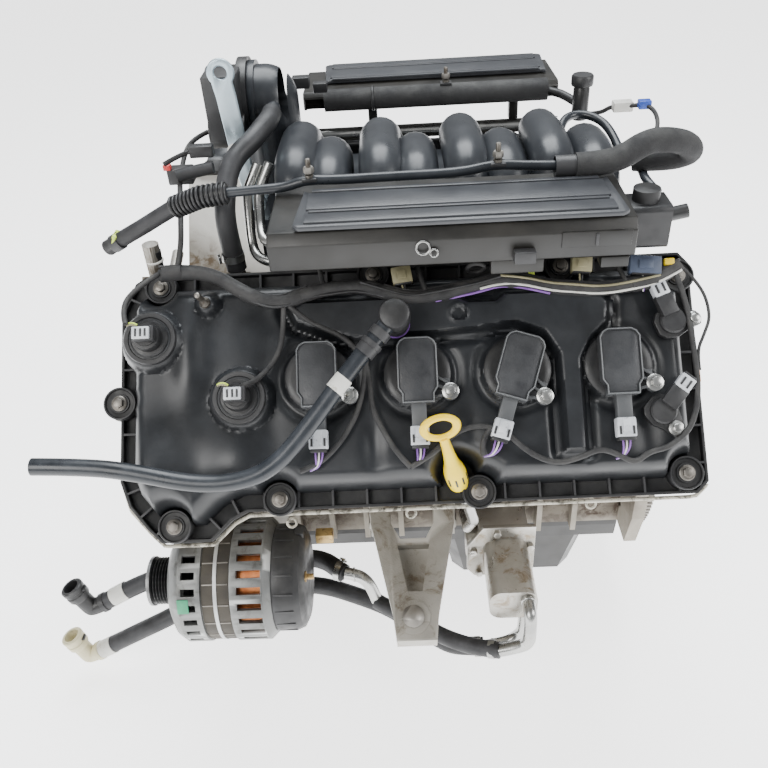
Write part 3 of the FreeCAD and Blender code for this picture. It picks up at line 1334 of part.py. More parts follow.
def harness():
    """Taped main loom along the cover's valley edge, with the leads that drop to each plug."""
    leads = []
    for i, x in enumerate(left_x):
        px, pt = coil_plug_at(x, coil_turns.get(x, 0.0))
        run = x - 40.0
        low = separator_h + 4.5 if i == 0 else cover_top_h + 4.2
        leads.append([(px - 2, pt - 11.3, coil_top_h + 8), (px - 16, pt - 20, low), (run, pt, low),
                      (run, 20.0, low), (run, 34.0, separator_h + 4.5), (run, 84.0, separator_h + 4.5)])
    for x, t in solenoid_spots:
        leads.append([(x, t + 8.3, cover_top_h + 33), (x + 5, t + 26, cover_top_h + 28),
                      (x + 12, 100.0, cover_top_h + 14), (x + 24, 118.0, cover_top_h + 2)])
    leads.append([(-42.8, 74.8, trunk_h - 3.0), (-44.0, 92.0, trunk_h)])
    leads.append([(-25.6, -21.2, trunk_h - 3.0), (-14.0, 10.0, trunk_h + 1.0), (-16.0, 80.0, trunk_h + 3.0),
                  (-26.0, 108.0, trunk_h - 5.0)])
    loom = pipe(trunk_points, trunk_r, 60.0)
    for points in leads:
        loom = loom.fuse(six_sided(points, lead_r))
    loom = leaned(loom)
    trunk_y, trunk_z = bank_point(0, 92.0, trunk_h)[1:]
    for x in left_x:
        loom = loom.fuse(six_sided([(x + 12, trunk_y + 6, trunk_z + 4), (x + 4, injector_plug_y[0] - 10, injector_plug_z[1] - 3.5),
                                    (x, injector_plug_y[0] - 0.2, injector_plug_z[0] + 8)], lead_r))
    throttle_lead = six_sided([(throttle_x[0] + 3.7, -14.0, 448.0), (-530.0, -26.0, 446.0),
                               (-540.0, -54.0, 430.0), (-541.0, -65.0, 423.0)], 5.0)
    return [loom, throttle_lead]


rail_y, rail_z = bank_point(0, *rail_at)[1:]
injector_plug_y = (rail_y - 34.7797, rail_y + 7.2203)
injector_plug_z = (rail_z - 25.1808, rail_z - 10.6808)


def plug_box(x, t, h, size, turn=0.0):
    """A connector shell in the bank frame, seated on its foot."""
    a, b, c = size
    box = block_of(x - a / 2, x + a / 2, t - b / 2, t + b / 2, h, h + c)
    box.rotate(V(x, t, h), Z_AXIS, turn)
    return box


def harness_plugs(rail):
    """Connector shells: on the coils, on the injectors, on the box's face and the throttle's."""
    made = []
    for x in left_x:
        px, pt = coil_plug_at(x, coil_turns.get(x, 0.0))
        made.append(leaned(plug_box(px, pt, coil_top_h + 0.5, (19.0, 21.4, 14.5), coil_turns.get(x, 0.0))))
        box = block_of(x - 7, x + 7, *injector_plug_y, *injector_plug_z)
        made.append(box.cut(rail))
    made.append(block_of(-196.0, -174.0, -281.0, -270.0, 399.0, 412.0))
    made.append(block_of(-556.0, -526.0, -84.0, -66.3, 412.0, 432.0))
    made.append(leaned(plug_box(-58.0, 96.0, trunk_h + trunk_r, (34.0, 18.0, 13.0), -8.0)))
    return made


# ------------------------------------------------------------------ flexplate
flexplate_r = 172.0
flexplate_bore_r = 20.0
ring_teeth = 132
ring_width = 10.0
flexplate_x = flange_face_x


def flexplate():
    plate = bar(flexplate_r - 8, flexplate_x, flexplate_x + 3.5)
    hub = bar(crank_flange_r, flexplate_x, flexplate_x + 7)
    ring = []
    for i in range(ring_teeth):
        for share, radius in ((-0.25, flexplate_r), (0.05, flexplate_r), (0.2, flexplate_r - 3.2),
                              (0.55, flexplate_r - 3.2)):
            a = 2 * math.pi * (i + share) / ring_teeth
            ring.append((radius * math.cos(a), radius * math.sin(a)))
    gear = slab_x(ring, flexplate_x, flexplate_x + ring_width)
    gear = gear.cut(bar(flexplate_r - 9, flexplate_x + 3.5, flexplate_x + ring_width + 1))
    body = fused([plate, hub, gear])
    holes = [bar(20.0, flexplate_x - 1, flexplate_x + 12, 105 * math.cos(a), 105 * math.sin(a))
             for a in (math.radians(60 * i) for i in range(6))]
    holes.append(bar(flexplate_bore_r, flexplate_x - 1, flexplate_x + 12))
    return body.cut(Part.makeCompound(holes))


# ------------------------------------------------------------------ smaller fittings
eye_at = (-483.0, 522.0)
bracket_y = -50.0


def lifting_bracket():
    """Flat steel eye plate that stands up from the manifold's front face."""
    ex, ez = eye_at
    plate = slab_y([(ex - 10, ez - 26), (ex + 12, ez - 24), (ex + 9, ez), (ex - 14, ez)],
                   bracket_y, bracket_y + 5)
    head = stud(15.0, (ex - 1, bracket_y, ez), (0, 1, 0), 5)
    front, top = plenum_x[0] - seat_gap, plenum_top_z + 3
    leg = slab_y([(ex - 10, ez - 26), (ex + 12, ez - 24), (ex + 18, ez - 108), (front, top),
                  (front, top - 33), (ex + 6, top - 4), (ex - 4, ez - 100)],
                 bracket_y, bracket_y + 5)
    foot = block_of(front - 5, front, bracket_y, bracket_y + 26, top - 33, top - 2)
    return fused([plate, head, leg, foot]).cut(stud(7.0, (ex - 1, bracket_y - 1, ez), (0, 1, 0), 8))


coolant_outlet = bank_point(-482.0, 142.1285, deck_height + 117.3610)
outlet_hose = [(-482.0, -143.0, 336.0), (-486.0, -140.0, 396.0), (-482.0, -106.0, 436.0),
               (-456.0, -72.0, 454.0), (outlet_hose_x, -44.0, throttle_z - 2),
               (outlet_hose_x, spigot_y - 0.5, throttle_z - 2)]
outlet_r = 11.0
stub_pipe_at = (-572.0, coolant_outlet[1])


def outlet_casting():
    """Coolant outlet between the banks on top of the front cover, with two hose spigots."""
    x, y, z = coolant_outlet
    base = leaned(block_of(x - 108, x + 14, head_half_width + seat_gap, head_half_width + 16,
                          port_h - 22, port_h + 52))
    neck = post(9.0, x, y, z - 23, z - 9.5)
    sx, sy = stub_pipe_at
    vent = post(9.0, sx, sy, z - 23, z + 28)
    return fused([base, neck, vent])


dip_top = bank_point(-263.0, -70.0, head_top_h + 67.0)
dip_seat = bank_point(-250.0, -103.0, head_top_h + 19.0)
dip_tube_r = 6.0
dip_blade_r = 2.2
dip_bore_r = 3.0


def dip_axis():
    return (V(*dip_top) - V(*dip_seat)).normalize()


def dipstick_route():
    seat, way = V(*dip_seat), dip_axis()
    knee = seat - way * 84.0
    return [tuple(seat), tuple(knee), (-234.0, -262.0, 36.0), (-231.0, -186.0, -20.0),
            (-231.0, -skirt_half_width - 16.3, -34.0)]


def dipstick_tube():
    """Steel tube from the block's flank up through the cover's edge, with a flared mouth."""
    seat, way = V(*dip_seat), dip_axis()
    points = dipstick_route()
    tube = pipe(points, dip_tube_r, 40.0)
    mouth = Part.makeCylinder(9.0, 8.0, seat - way * 8.0, way)
    bore_cut = Part.makeCylinder(dip_bore_r, 64.0, seat - way * 62.0, way)
    return fused([tube, mouth]).cut(bore_cut)


def dipstick():
    """Ring handle on a tapered neck, its ribbed plug on the tube's mouth and the blade below."""
    seat, way = V(*dip_seat), dip_axis()
    plug = Part.makeCone(11.0, 8.0, 16.0, seat + way * seat_gap, way)
    neck = Part.makeCone(6.0, 4.5, 52.0, seat + way * 16, way)
    blade = Part.makeCylinder(dip_blade_r, 60.0, seat - way * 58.0, way)
    centre = seat + way * 80
    ring = Part.makeTorus(13.0, 4.0, centre, V(0.2, -0.80, 0.56).normalize())
    return fused([plug, neck, blade, ring])


actuator_x = rail_cover_x[1] + seat_gap


def intake_actuator():
    """Control valve clipped to the end of the left acoustic box, with its plug and spigot."""
    body = block_of(actuator_x, actuator_x + 44, -226.0, -186.0, 380.0, 424.0)
    rims = [e for e in body.Edges if abs(e.Vertexes[0].X - e.Vertexes[-1].X) > 30]
    body = body.makeFillet(6.0, rims)
    spigot = stud(7.0, (actuator_x + 43, -206.0, 406.0), (1, 0, 0.2), 22)
    cap = post(13.0, actuator_x + 22, -206.0, 423.0, 436.0)
    return fused([body, spigot, cap])


cap_spot = (-498.0, 60.0)


def oil_filler_cap():
    """Screwed oil filler cap with a ribbed rim and a grip bar."""
    low = cover_top_h + 12 + seat_gap
    rim = post(24.0, 0, 0, low, low + 14)
    cuts = [post(2.4, 25.0 * math.cos(a), 25.0 * math.sin(a), low - 1, low + 15)
            for a in (math.radians(30 * i) for i in range(12))]
    grip = block_of(-20, 20, -4, 4, low + 13, low + 22)
    cap = fused([rim.cut(Part.makeCompound(cuts)), grip])
    cap.translate(V(cap_spot[0], cap_spot[1], 0))
    return cap


# ------------------------------------------------------------------ the nodes
def both_banks(make):
    """The same kind of piece for the left bank and, mirrored, for the right one."""
    return [leaned(make(left_x)), on_right(leaned(make(right_x)))]


def spread(make):
    """A list of pieces for each bank, in place, as one list."""
    out = []
    for bank_x, place in ((left_x, leaned), (right_x, lambda s: on_right(leaned(s)))):
        out += [place(shape) for shape in make(bank_x)]
    return out


keep("cylinder_block", cylinder_block())
keep("main_bearing_caps", *main_caps())
keep("crankshaft", crankshaft(), crank_sprocket())
rods, pistons, pins = rotating_parts()
keep("connecting_rods", *rods)
keep("pistons", *(pistons + pins))
keep("oil_pan", oil_pan())
keep("oil_pump", oil_pump(), oil_pickup())
keep("flexplate", flexplate())
keep("crank_damper", crank_damper())
keep("front_cover", front_cover())
left_secondary = leaned(secondary_chain())
keep("timing_chains", primary_chain(-1), primary_chain(1), left_secondary, on_right(left_secondary))
keep("chain_guides", chain_guide(-1), chain_guide(1))
head_left, head_right = both_banks(cylinder_head)
keep("head_gaskets", *both_banks(head_gasket))
keep("cam_carriers", *spread(cam_carriers))
cam_front_x = secondary_row[0]
cam_timing = {"intake": (1, 118.0), "exhaust": (-1, 242.0)}
for bank, bank_x in ((-1, left_x), (1, right_x)):
    for kind, (side, angle) in cam_timing.items():
        pieces = [camshaft(bank_x, side, angle, cam_front_x), phaser(side, bank)]
        pieces = [leaned(piece) for piece in pieces]
        if bank > 0:
            pieces = [on_right(piece) for piece in pieces]
        keep("camshaft_%s_%s" % ("left" if bank < 0 else "right", kind), *pieces)


def valve_set(bank_x):
    made = []
    for side, radius in ((1, intake_valve_r), (-1, exhaust_valve_r)):
        made += valves_of(bank_x, side, radius)[0]
    return made


def spring_set(bank_x):
    return valves_of(bank_x, 1, 10.0)[1] + valves_of(bank_x, -1, 10.0)[1]


keep("valves", *spread(valve_set))
keep("valve_springs", *spread(spring_set))
keep("cam_followers", *spread(followers_of))

left_cover = cam_cover(left_x, cover_rear_x)
right_cover = cam_cover(right_x, cover_rear_x - bank_stagger)
cap_neck = turned_z([(20.0, cover_top_h - 3), (26.0, cover_top_h - 3), (26.0, cover_top_h + 12),
                     (20.0, cover_top_h + 12)], *cap_spot)
dip_clear = Part.makeCylinder(dip_tube_r + seat_gap, 120.0, V(*dip_seat) - dip_axis() * 84.0, dip_axis())
dip_mouth_clear = Part.makeCylinder(11.6, 60.0, V(*dip_seat) - dip_axis() * 9.0, dip_axis())
left_cover = fused([left_cover, breather_neck()])
keep("cam_cover_left", leaned(left_cover).cut(dip_clear).cut(dip_mouth_clear))
right_cover = fused([right_cover, cap_neck]).cut(post(20.0, *cap_spot, cover_top_h - 21, cover_top_h + 13))
keep("cam_cover_right", on_right(leaned(right_cover)))
keep("cylinder_head_left", head_left.cut(dip_clear))
keep("cylinder_head_right", head_right)

for name, bank_x, mirrored in (("ignition_coils_left", left_x, False),
                               ("ignition_coils_right", right_x, True)):
    coils = [leaned(ignition_coil(x, coil_turns.get(x, 0.0))) for x in bank_x]
    keep(name, *[on_right(coil) if mirrored else coil for coil in coils])
fasteners = [leaned(bolt) for bolt in cover_bolts()]
fasteners += [leaned(coil_bolt(x, coil_turns.get(x, 0.0))) for x in left_x]
fasteners += [on_right(leaned(bolt)) for bolt in cover_bolts()]
fasteners += [on_right(leaned(coil_bolt(x))) for x in right_x]
fasteners += alternator_bolts() + [mount_bolt()]
keep("fasteners", *fasteners)
keep("spark_plugs", *spread(lambda bank_x: [spark_plug(x) for x in bank_x]))
left_solenoids = [leaned(cam_solenoid(*spot)) for spot in solenoid_spots]
keep("cam_solenoids", *(left_solenoids + [on_right(piece) for piece in left_solenoids]))
left_sensors = [leaned(cam_sensor(*spot)) for spot in sensor_spots]
right_sensors = [on_right(piece.translated(V(-bank_stagger, 0, 0))) for piece in left_sensors]
keep("cam_sensors", *(left_sensors + right_sensors))
keep("oil_filler_cap", on_right(leaned(oil_filler_cap())))

rails = both_banks(fuel_rail)
keep("intake_manifold", intake_manifold().cut(Part.makeCompound(rails)))
keep("fuel_rails", *rails)
keep("throttle_body", throttle_body())
keep("throttle_plate", throttle_plate())
keep("rail_covers", rail_cover(), on_right(rail_cover()))
keep("trim_plates", top_plate(), on_right(top_plate()))
keep("breather_hose", breather_hose())
foam_hose = pipe(foam_points, foam_r, 26.0)
tail_points = [end_of(cuff_points, seat_gap), end_of(cuff_points, 14.0), (-568.0, -164.0, 402.0), (-614.0, -158.0, 376.0)]
keep("vapour_tubes", pipe(rail_tube_points, rail_tube_r, 20.0).cut(foam_hose), foam_hose,
     pipe(cuff_points, cuff_r, 40.0), pipe(tail_points, tail_r, 40.0),
     pipe(far_pipe_points, far_pipe_r, 40.0))
plugs = harness_plugs(rails[0])
keep("harness_plugs", *plugs)
plugged = Part.makeCompound(plugs + left_solenoids + left_sensors + [parts["throttle_body"]])
keep("wiring_harness", *[lead.cut(plugged) for lead in harness()])
keep("alternator_housing", alternator_housing())
keep("alternator_rotor", alternator_rotor())
keep("alternator_bracket", alternator_bracket())
keep("water_pump", water_pump(), outlet_casting())
keep("water_pump_pulley", pump_pulley())
keep("belt_tensioner", tensioner_case(), idler_post())
keep("tensioner_arm", tensioner_arm())
keep("tensioner_pulley", smooth_pulley(tensioner_r, *tensioner_at))
keep("idler_pulley", smooth_pulley(idler_r, *idler_at))
keep("oil_cooler", oil_cooler(), oil_filter_adapter())
keep("metal_pipes", *([pipe(points, cooler_pipe_r, 14.0) for points in (upper_pipe, lower_pipe, hard_pipe)] +
                      [pipe(points, silver_r, 18.0) for points in silver_pipes]))
keep("coolant_hoses", pipe(upper_hose, hose_r, 60.0), pipe(lower_hose, hose_r, 60.0),
     pipe(upper_tail, hose_r, 30.0), pipe(outlet_hose, outlet_r, 36.0))
keep("quick_connectors", quick_connector(upper_hose[1::-1], (-0.35, 0, 0.94)),
     quick_connector(lower_hose[1::-1], (-0.3, 0, 0.95)))
mount = engine_mount()
keep("engine_mounts", mount, on_right(mount))
keep("dipstick_tube", dipstick_tube())
keep("dipstick", dipstick())
keep("lifting_bracket", lifting_bracket())
keep("intake_actuator", intake_actuator())

os.makedirs("parts", exist_ok=True)
for name, shape in parts.items():
    shape.exportStep("parts/%s.step" % name)
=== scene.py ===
"""Looks of a complete V8 engine, in metres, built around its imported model."""

import math

import bpy
import numpy as np
from mathutils import Matrix, Vector


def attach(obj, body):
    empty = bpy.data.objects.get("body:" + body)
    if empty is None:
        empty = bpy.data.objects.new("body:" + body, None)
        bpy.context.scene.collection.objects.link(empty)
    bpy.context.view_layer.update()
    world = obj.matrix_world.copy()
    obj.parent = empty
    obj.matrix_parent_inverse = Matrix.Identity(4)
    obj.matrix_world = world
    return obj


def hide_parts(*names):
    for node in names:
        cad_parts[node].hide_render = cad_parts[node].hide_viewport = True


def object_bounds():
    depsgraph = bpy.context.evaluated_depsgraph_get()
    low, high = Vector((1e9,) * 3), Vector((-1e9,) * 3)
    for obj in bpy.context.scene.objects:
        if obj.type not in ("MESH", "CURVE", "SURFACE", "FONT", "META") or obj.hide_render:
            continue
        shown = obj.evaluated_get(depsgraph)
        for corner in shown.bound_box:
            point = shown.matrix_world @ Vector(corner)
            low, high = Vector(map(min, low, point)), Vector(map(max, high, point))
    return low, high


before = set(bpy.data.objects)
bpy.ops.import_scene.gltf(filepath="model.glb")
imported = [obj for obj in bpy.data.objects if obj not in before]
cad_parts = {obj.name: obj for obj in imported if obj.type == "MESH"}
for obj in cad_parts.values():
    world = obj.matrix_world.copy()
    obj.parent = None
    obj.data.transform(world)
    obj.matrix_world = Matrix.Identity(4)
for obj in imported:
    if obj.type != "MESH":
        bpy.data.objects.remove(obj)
cad_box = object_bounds()

MM = 0.001
HALF = math.sqrt(0.5)
LEFT, RIGHT = -1, 1
# Bank frame: x along the crankshaft, t across the bank towards the valley, h out of it.
BANK = {LEFT: Matrix(((1, 0, 0, 0), (0, HALF, -HALF, 0), (0, HALF, HALF, 0), (0, 0, 0, 1))),
    RIGHT: Matrix(((1, 0, 0, 0), (0, -HALF, HALF, 0), (0, HALF, HALF, 0), (0, 0, 0, 1)))}
BANK_SHIFT = {LEFT: 0.0, RIGHT: -21.0}
LEAD_H = 405.5
CYLINDER_X = {LEFT: (-87.5, -187.5, -287.5, -387.5), RIGHT: (-108.5, -208.5, -308.5, -408.5)}


# ---------------------------------------------------------------- bench tools
def only(*objects):
    """Selects these objects alone and makes the first one active."""
    if bpy.context.object and bpy.context.object.mode != "OBJECT":
        bpy.ops.object.mode_set(mode="OBJECT")
    bpy.ops.object.select_all(action="DESELECT")
    for obj in objects:
        obj.select_set(True)
    if objects:
        bpy.context.view_layer.objects.active = objects[0]


def editing(obj):
    """Opens a mesh for editing with all of it selected."""
    only(obj)
    bpy.ops.object.mode_set(mode="EDIT")
    bpy.ops.mesh.select_all(action="SELECT")


def done(obj):
    """Turns every face outwards and closes the mesh again."""
    bpy.ops.mesh.select_all(action="SELECT")
    bpy.ops.mesh.normals_make_consistent(inside=False)
    bpy.ops.object.mode_set(mode="OBJECT")
    return obj


def worked(obj, kind, **settings):
    """Adds one modifier with its settings and applies it."""
    only(obj)
    modifier = obj.modifiers.new(kind.title(), kind)
    for key, value in settings.items():
        setattr(modifier, key, value)
    bpy.ops.object.modifier_apply(modifier=modifier.name)
    return obj


def bevelled(obj, width, segments=2):
    """Rounds every edge that turns by more than 30 degrees."""
    return worked(obj, "BEVEL", width=width * MM, segments=segments, limit_method="ANGLE",
        angle_limit=math.radians(30.0))


def moved(obj, *matrices):
    """Puts a finished mesh in its place; a mirrored one is turned right side out."""
    for matrix in reversed(matrices):
        obj.data.transform(matrix)
        if matrix.to_3x3().determinant() < 0:
            obj.data.flip_normals()
    obj.data.update()
    return obj


def shift(x, y, z):
    """A move in millimetres."""
    return Matrix.Translation(Vector((x, y, z)) * MM)


def turn(degrees, axis="Z"):
    """A turn about an axis through the origin."""
    return Matrix.Rotation(math.radians(degrees), 4, axis)


def along(way):
    """A turn that takes +Z to a direction."""
    return Vector((0, 0, 1)).rotation_difference(Vector(way).normalized()).to_matrix().to_4x4()


def painted(obj, material, *places):
    """Gives a mesh its finish, and its place where one is named."""
    moved(obj, *places)
    obj.data.materials.clear()
    obj.data.materials.append(material)
    return obj


def block(size, place=(0, 0, 0), edge=1.0, segments=2):
    """A cube at its size and place in millimetres with rounded edges."""
    only()
    bpy.ops.mesh.primitive_cube_add(size=1.0)
    obj = bpy.context.object
    moved(obj, shift(*place), Matrix.Diagonal((size[0] * MM, size[1] * MM, size[2] * MM, 1)))
    return bevelled(obj, edge, segments) if edge else obj


def slab(outline, low, high, edge=0.8, rim=0.0, sink=0.0):
    """A plate cut to an outline, its top inset and sunk like a tray where a rim is given."""
    only()
    bpy.ops.mesh.primitive_circle_add(vertices=len(outline), radius=1.0, fill_type="NGON")
    obj = bpy.context.object
    for corner, (x, y) in zip(obj.data.vertices, outline):
        corner.co = (x * MM, y * MM, low * MM)
    editing(obj)
    bpy.ops.mesh.extrude_region_move(TRANSFORM_OT_translate={"value": (0, 0, (high - low) * MM)})
    if rim:
        bpy.ops.mesh.inset(thickness=rim * MM, depth=0.0)
        bpy.ops.mesh.extrude_region_move(TRANSFORM_OT_translate={"value": (0, 0, -sink * MM)})
    done(obj)
    return bevelled(obj, edge) if edge else obj


def turned(profile, steps=40):
    """A (radius, height) line spun about Z, closed where it meets the axis."""
    mesh = bpy.data.meshes.new("turned")
    mesh.from_pydata([(r * MM, 0, h * MM) for r, h in profile],
        [(i, i + 1) for i in range(len(profile) - 1)], [])
    obj = bpy.data.objects.new("turned", mesh)
    bpy.context.scene.collection.objects.link(obj)
    editing(obj)
    bpy.ops.mesh.spin(steps=steps, angle=2 * math.pi, center=(0, 0, 0), axis=(0, 0, 1))
    bpy.ops.mesh.select_all(action="SELECT")
    bpy.ops.mesh.remove_doubles(threshold=1e-6)
    return done(obj)


def ring(radius, thickness, steps=40):
    """A round ring about Z."""
    only()
    bpy.ops.mesh.primitive_torus_add(major_radius=radius * MM, minor_radius=thickness * MM,
        major_segments=steps, minor_segments=12)
    return bpy.context.object


def tube(points, radius, widths=None, order=3, sides=5):
    """A smooth round tube along its own line; widths scale the radius at each point."""
    curve = bpy.data.curves.new("tube", "CURVE")
    curve.dimensions = "3D"
    spline = curve.splines.new("NURBS")
    spline.points.add(len(points) - 1)
    for i, (point, place) in enumerate(zip(spline.points, points)):
        point.co = (place[0] * MM, place[1] * MM, place[2] * MM, 1)
        point.radius = widths[i] if widths else 1.0
    spline.order_u = order
    spline.use_endpoint_u = True
    spline.resolution_u = 10
    curve.bevel_depth = radius * MM
    curve.bevel_resolution = sides
    curve.use_fill_caps = True
    obj = bpy.data.objects.new("tube", curve)
    bpy.context.scene.collection.objects.link(obj)
    only(obj)
    bpy.ops.object.convert(target="MESH")
    obj = bpy.context.object
    for polygon in obj.data.polygons:
        polygon.use_smooth = True
    return obj


def blocks(*rows):
    """Blocks from rows of size, place, edge and finish."""
    return [painted(block(*row[:3]), row[3]) for row in rows]


def tubes(*rows):
    """Tubes from rows of points, radius, sides and finish."""
    return [painted(tube(points, radius, sides=sides), material) for points, radius, sides, material in rows]


def joined(parts):
    """Makes one mesh of several."""
    only(*parts)
    if len(parts) > 1:
        bpy.ops.object.join()
    return bpy.context.object


def copied(obj):
    """A second object with its own mesh."""
    twin = obj.copy()
    twin.data = obj.data.copy()
    bpy.context.scene.collection.objects.link(twin)
    return twin


def fitted(obj, name, body="engine", replaces=(), angle=35.0):
    """Names a finished piece, smooths it and makes it move with its body."""
    only(obj)
    bpy.ops.object.shade_smooth_by_angle(angle=math.radians(angle))
    obj.name = name
    obj.data.name = name
    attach(obj, body)
    if replaces:
        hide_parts(*replaces)
    return obj


def packed(node):
    """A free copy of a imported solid, merged and left in edit mode."""
    obj = copied(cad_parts[node])
    obj.parent = None
    for key in list(obj.keys()):
        del obj[key]
    editing(obj)
    bpy.ops.mesh.remove_doubles(threshold=2e-6)
    return obj


def softened(node, width, material, body="engine"):
    """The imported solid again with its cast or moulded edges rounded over."""
    obj = packed(node)
    bpy.ops.mesh.dissolve_limited(angle_limit=math.radians(3.0))
    bpy.ops.object.mode_set(mode="OBJECT")
    worked(obj, "BEVEL", width=width * MM, segments=2, limit_method="ANGLE",
        angle_limit=math.radians(35.0), use_clamp_overlap=True)
    painted(obj, material)
    return fitted(obj, node + "_finished", body, (node,), 40.0)


# ---------------------------------------------------------------- finishes
def node(tree, kind, inputs=(), **settings):
    """Adds a shader node and links or sets its inputs."""
    made = tree.nodes.new("ShaderNode" + kind)
    for key, value in settings.items():
        setattr(made, key, value)
    for key, value in dict(inputs).items():
        if isinstance(value, bpy.types.NodeSocket):
            tree.links.new(value, made.inputs[key])
        else:
            made.inputs[key].default_value = value
    return made


def rescaled(tree, value, low, high, to_low=0.0, to_high=1.0):
    """Maps one span of values to another."""
    made = node(tree, "MapRange", {0: value, 1: low, 2: high, 3: to_low, 4: to_high})
    return made.outputs[0]


def blended(tree, share, first, second):
    """Mixes two colours by a share."""
    made = node(tree, "Mix", {0: share, 6: first, 7: second}, data_type="RGBA")
    return made.outputs[2]


DUST_AND_SHEEN_GRAIN = 30.0


def finish(name, dark, light, rough=(0.4, 0.6), metallic=0.0, patch=9.0, grain=900.0, relief=0.1, dust_and_sheen=None,
        stain=None, wear=None, coat=0.0):
    """Colour that drifts between two tones, a fine skin, a lighter colour on what faces up (dust with a painted
    highlight from above), stains and worn edges.

    The up-facing layer, dust with a painted highlight, is given as (colour, share) or (colour, share, scale) and
    stain is (colour, share).
    """
    material = bpy.data.materials.new(name)
    material.use_nodes = True
    tree = material.node_tree
    shader = tree.nodes["Principled BSDF"]
    shader.inputs["Metallic"].default_value = metallic
    shader.inputs["Coat Weight"].default_value = coat
    shader.inputs["Coat Roughness"].default_value = 0.25
    place = node(tree, "TexCoord").outputs["Object"]
    broad = node(tree, "TexNoise", {"Vector": place, "Scale": patch, "Detail": 6.0, "Roughness": 0.62})
    colour = blended(tree, rescaled(tree, broad.outputs[0], 0.36, 0.64), (*dark, 1), (*light, 1))
    if stain:
        spots = node(tree, "TexNoise", {"Vector": place, "Scale": patch * 3.1, "Detail": 9.0,
                "Roughness": 0.7, "Distortion": 0.6})
        stain, share = stain
        edge = 0.68 - 0.4 * share
        colour = blended(tree, rescaled(tree, spots.outputs[0], edge, edge + 0.12), colour, (*stain, 1))
    shape = node(tree, "NewGeometry")
    if wear:
        worn = rescaled(tree, shape.outputs["Pointiness"], 0.53, 0.60)
        colour = blended(tree, worn, colour, (*wear, 1))
    # Faces that point up get a lighter colour: dust, together with a painted highlight from the light above.
    if dust_and_sheen:
        up = node(tree, "SeparateXYZ", {0: shape.outputs["Normal"]}).outputs[2]
        dust_and_sheen, share, scale = (*dust_and_sheen, DUST_AND_SHEEN_GRAIN)[:3]
        film = node(tree, "TexNoise", {"Vector": place, "Scale": scale, "Detail": 8.0,
                "Roughness": 0.68})
        amount = node(tree, "Math", {0: rescaled(tree, up, 0.0, 0.9), 1: rescaled(
                tree, film.outputs[0], 0.4, 0.75, 0.0, share)}, operation="MULTIPLY").outputs[0]
        colour = blended(tree, amount, colour, (*dust_and_sheen, 1))
    tree.links.new(colour, shader.inputs["Base Color"])
    haze = node(tree, "TexNoise", {"Vector": place, "Scale": patch * 4.0, "Detail": 5.0})
    tree.links.new(rescaled(tree, haze.outputs[0], 0.3, 0.7, *rough), shader.inputs["Roughness"])
    if relief:
        skin = node(tree, "TexNoise", {"Vector": place, "Scale": grain, "Detail": 3.0})
        bump = node(tree, "Bump", {"Height": skin.outputs[0], "Strength": relief, "Distance": 0.0006})
        tree.links.new(bump.outputs[0], shader.inputs["Normal"])
    return material


DUST = (0.22, 0.21, 0.19)
# The bluish-grey up-facing colours of cover_black, runner_slate and hose_gloss are a painted sky highlight on top
# faces as well as dust.
cover_black = finish("cover_black", (0.0065, 0.0072, 0.0085), (0.0125, 0.0138, 0.016), (0.30, 0.46), patch=7.0,
    grain=1400.0, relief=0.10, dust_and_sheen=((0.055, 0.06, 0.068), 0.5, 11.0))
channel_black = finish("channel_black", (0.004, 0.004, 0.0045), (0.010, 0.010, 0.011), (0.45, 0.7), patch=18.0,
    dust_and_sheen=(DUST, 0.12), wear=(0.03, 0.03, 0.032))
runner_slate = finish("runner_slate", (0.014, 0.016, 0.020), (0.024, 0.027, 0.032), (0.26, 0.40), patch=6.0,
    grain=1600.0, relief=0.08, dust_and_sheen=((0.10, 0.105, 0.11), 0.3, 16.0))
plate_grey = finish("plate_grey", (0.030, 0.032, 0.037), (0.045, 0.048, 0.054), (0.30, 0.44), patch=8.0, grain=1500.0,
    relief=0.12, dust_and_sheen=((0.13, 0.13, 0.13), 0.25, 14.0))
box_black = finish("box_black", (0.006, 0.006, 0.0055), (0.015, 0.014, 0.012), (0.32, 0.52), patch=8.0,
    dust_and_sheen=((0.07, 0.063, 0.052), 0.4, 12.0))
part_black = finish("part_black", (0.006, 0.006, 0.0065), (0.015, 0.015, 0.016), (0.32, 0.55), patch=22.0,
    dust_and_sheen=(DUST, 0.12), wear=(0.035, 0.035, 0.037))
coil_grey = finish("coil_grey", (0.017, 0.018, 0.020), (0.030, 0.031, 0.034), (0.36, 0.5), patch=30.0,
    dust_and_sheen=((0.10, 0.10, 0.10), 0.25), wear=(0.13, 0.135, 0.14))
potting_grey = finish("potting_grey", (0.022, 0.023, 0.026), (0.040, 0.042, 0.046), (0.34, 0.55), patch=25.0,
    grain=500.0, relief=0.3, dust_and_sheen=((0.13, 0.13, 0.13), 0.3))
rubber_black = finish("rubber_black", (0.010, 0.010, 0.011), (0.026, 0.026, 0.028), (0.42, 0.66), patch=14.0,
    grain=700.0, relief=0.18, dust_and_sheen=((0.15, 0.15, 0.16), 0.4, 24.0))
hose_gloss = finish("hose_gloss", (0.010, 0.012, 0.015), (0.022, 0.026, 0.032), (0.24, 0.38), patch=10.0, grain=500.0,
    relief=0.06, dust_and_sheen=((0.14, 0.15, 0.17), 0.3))
tape_black = finish("tape_black", (0.012, 0.012, 0.013), (0.035, 0.034, 0.034), (0.55, 0.85), patch=26.0, grain=420.0,
    relief=0.55, dust_and_sheen=((0.16, 0.155, 0.145), 0.45, 40.0))
foam_black = finish("foam_black", (0.016, 0.016, 0.017), (0.034, 0.034, 0.035), (0.7, 0.95), patch=20.0, grain=650.0,
    relief=0.8, dust_and_sheen=((0.16, 0.16, 0.15), 0.4))
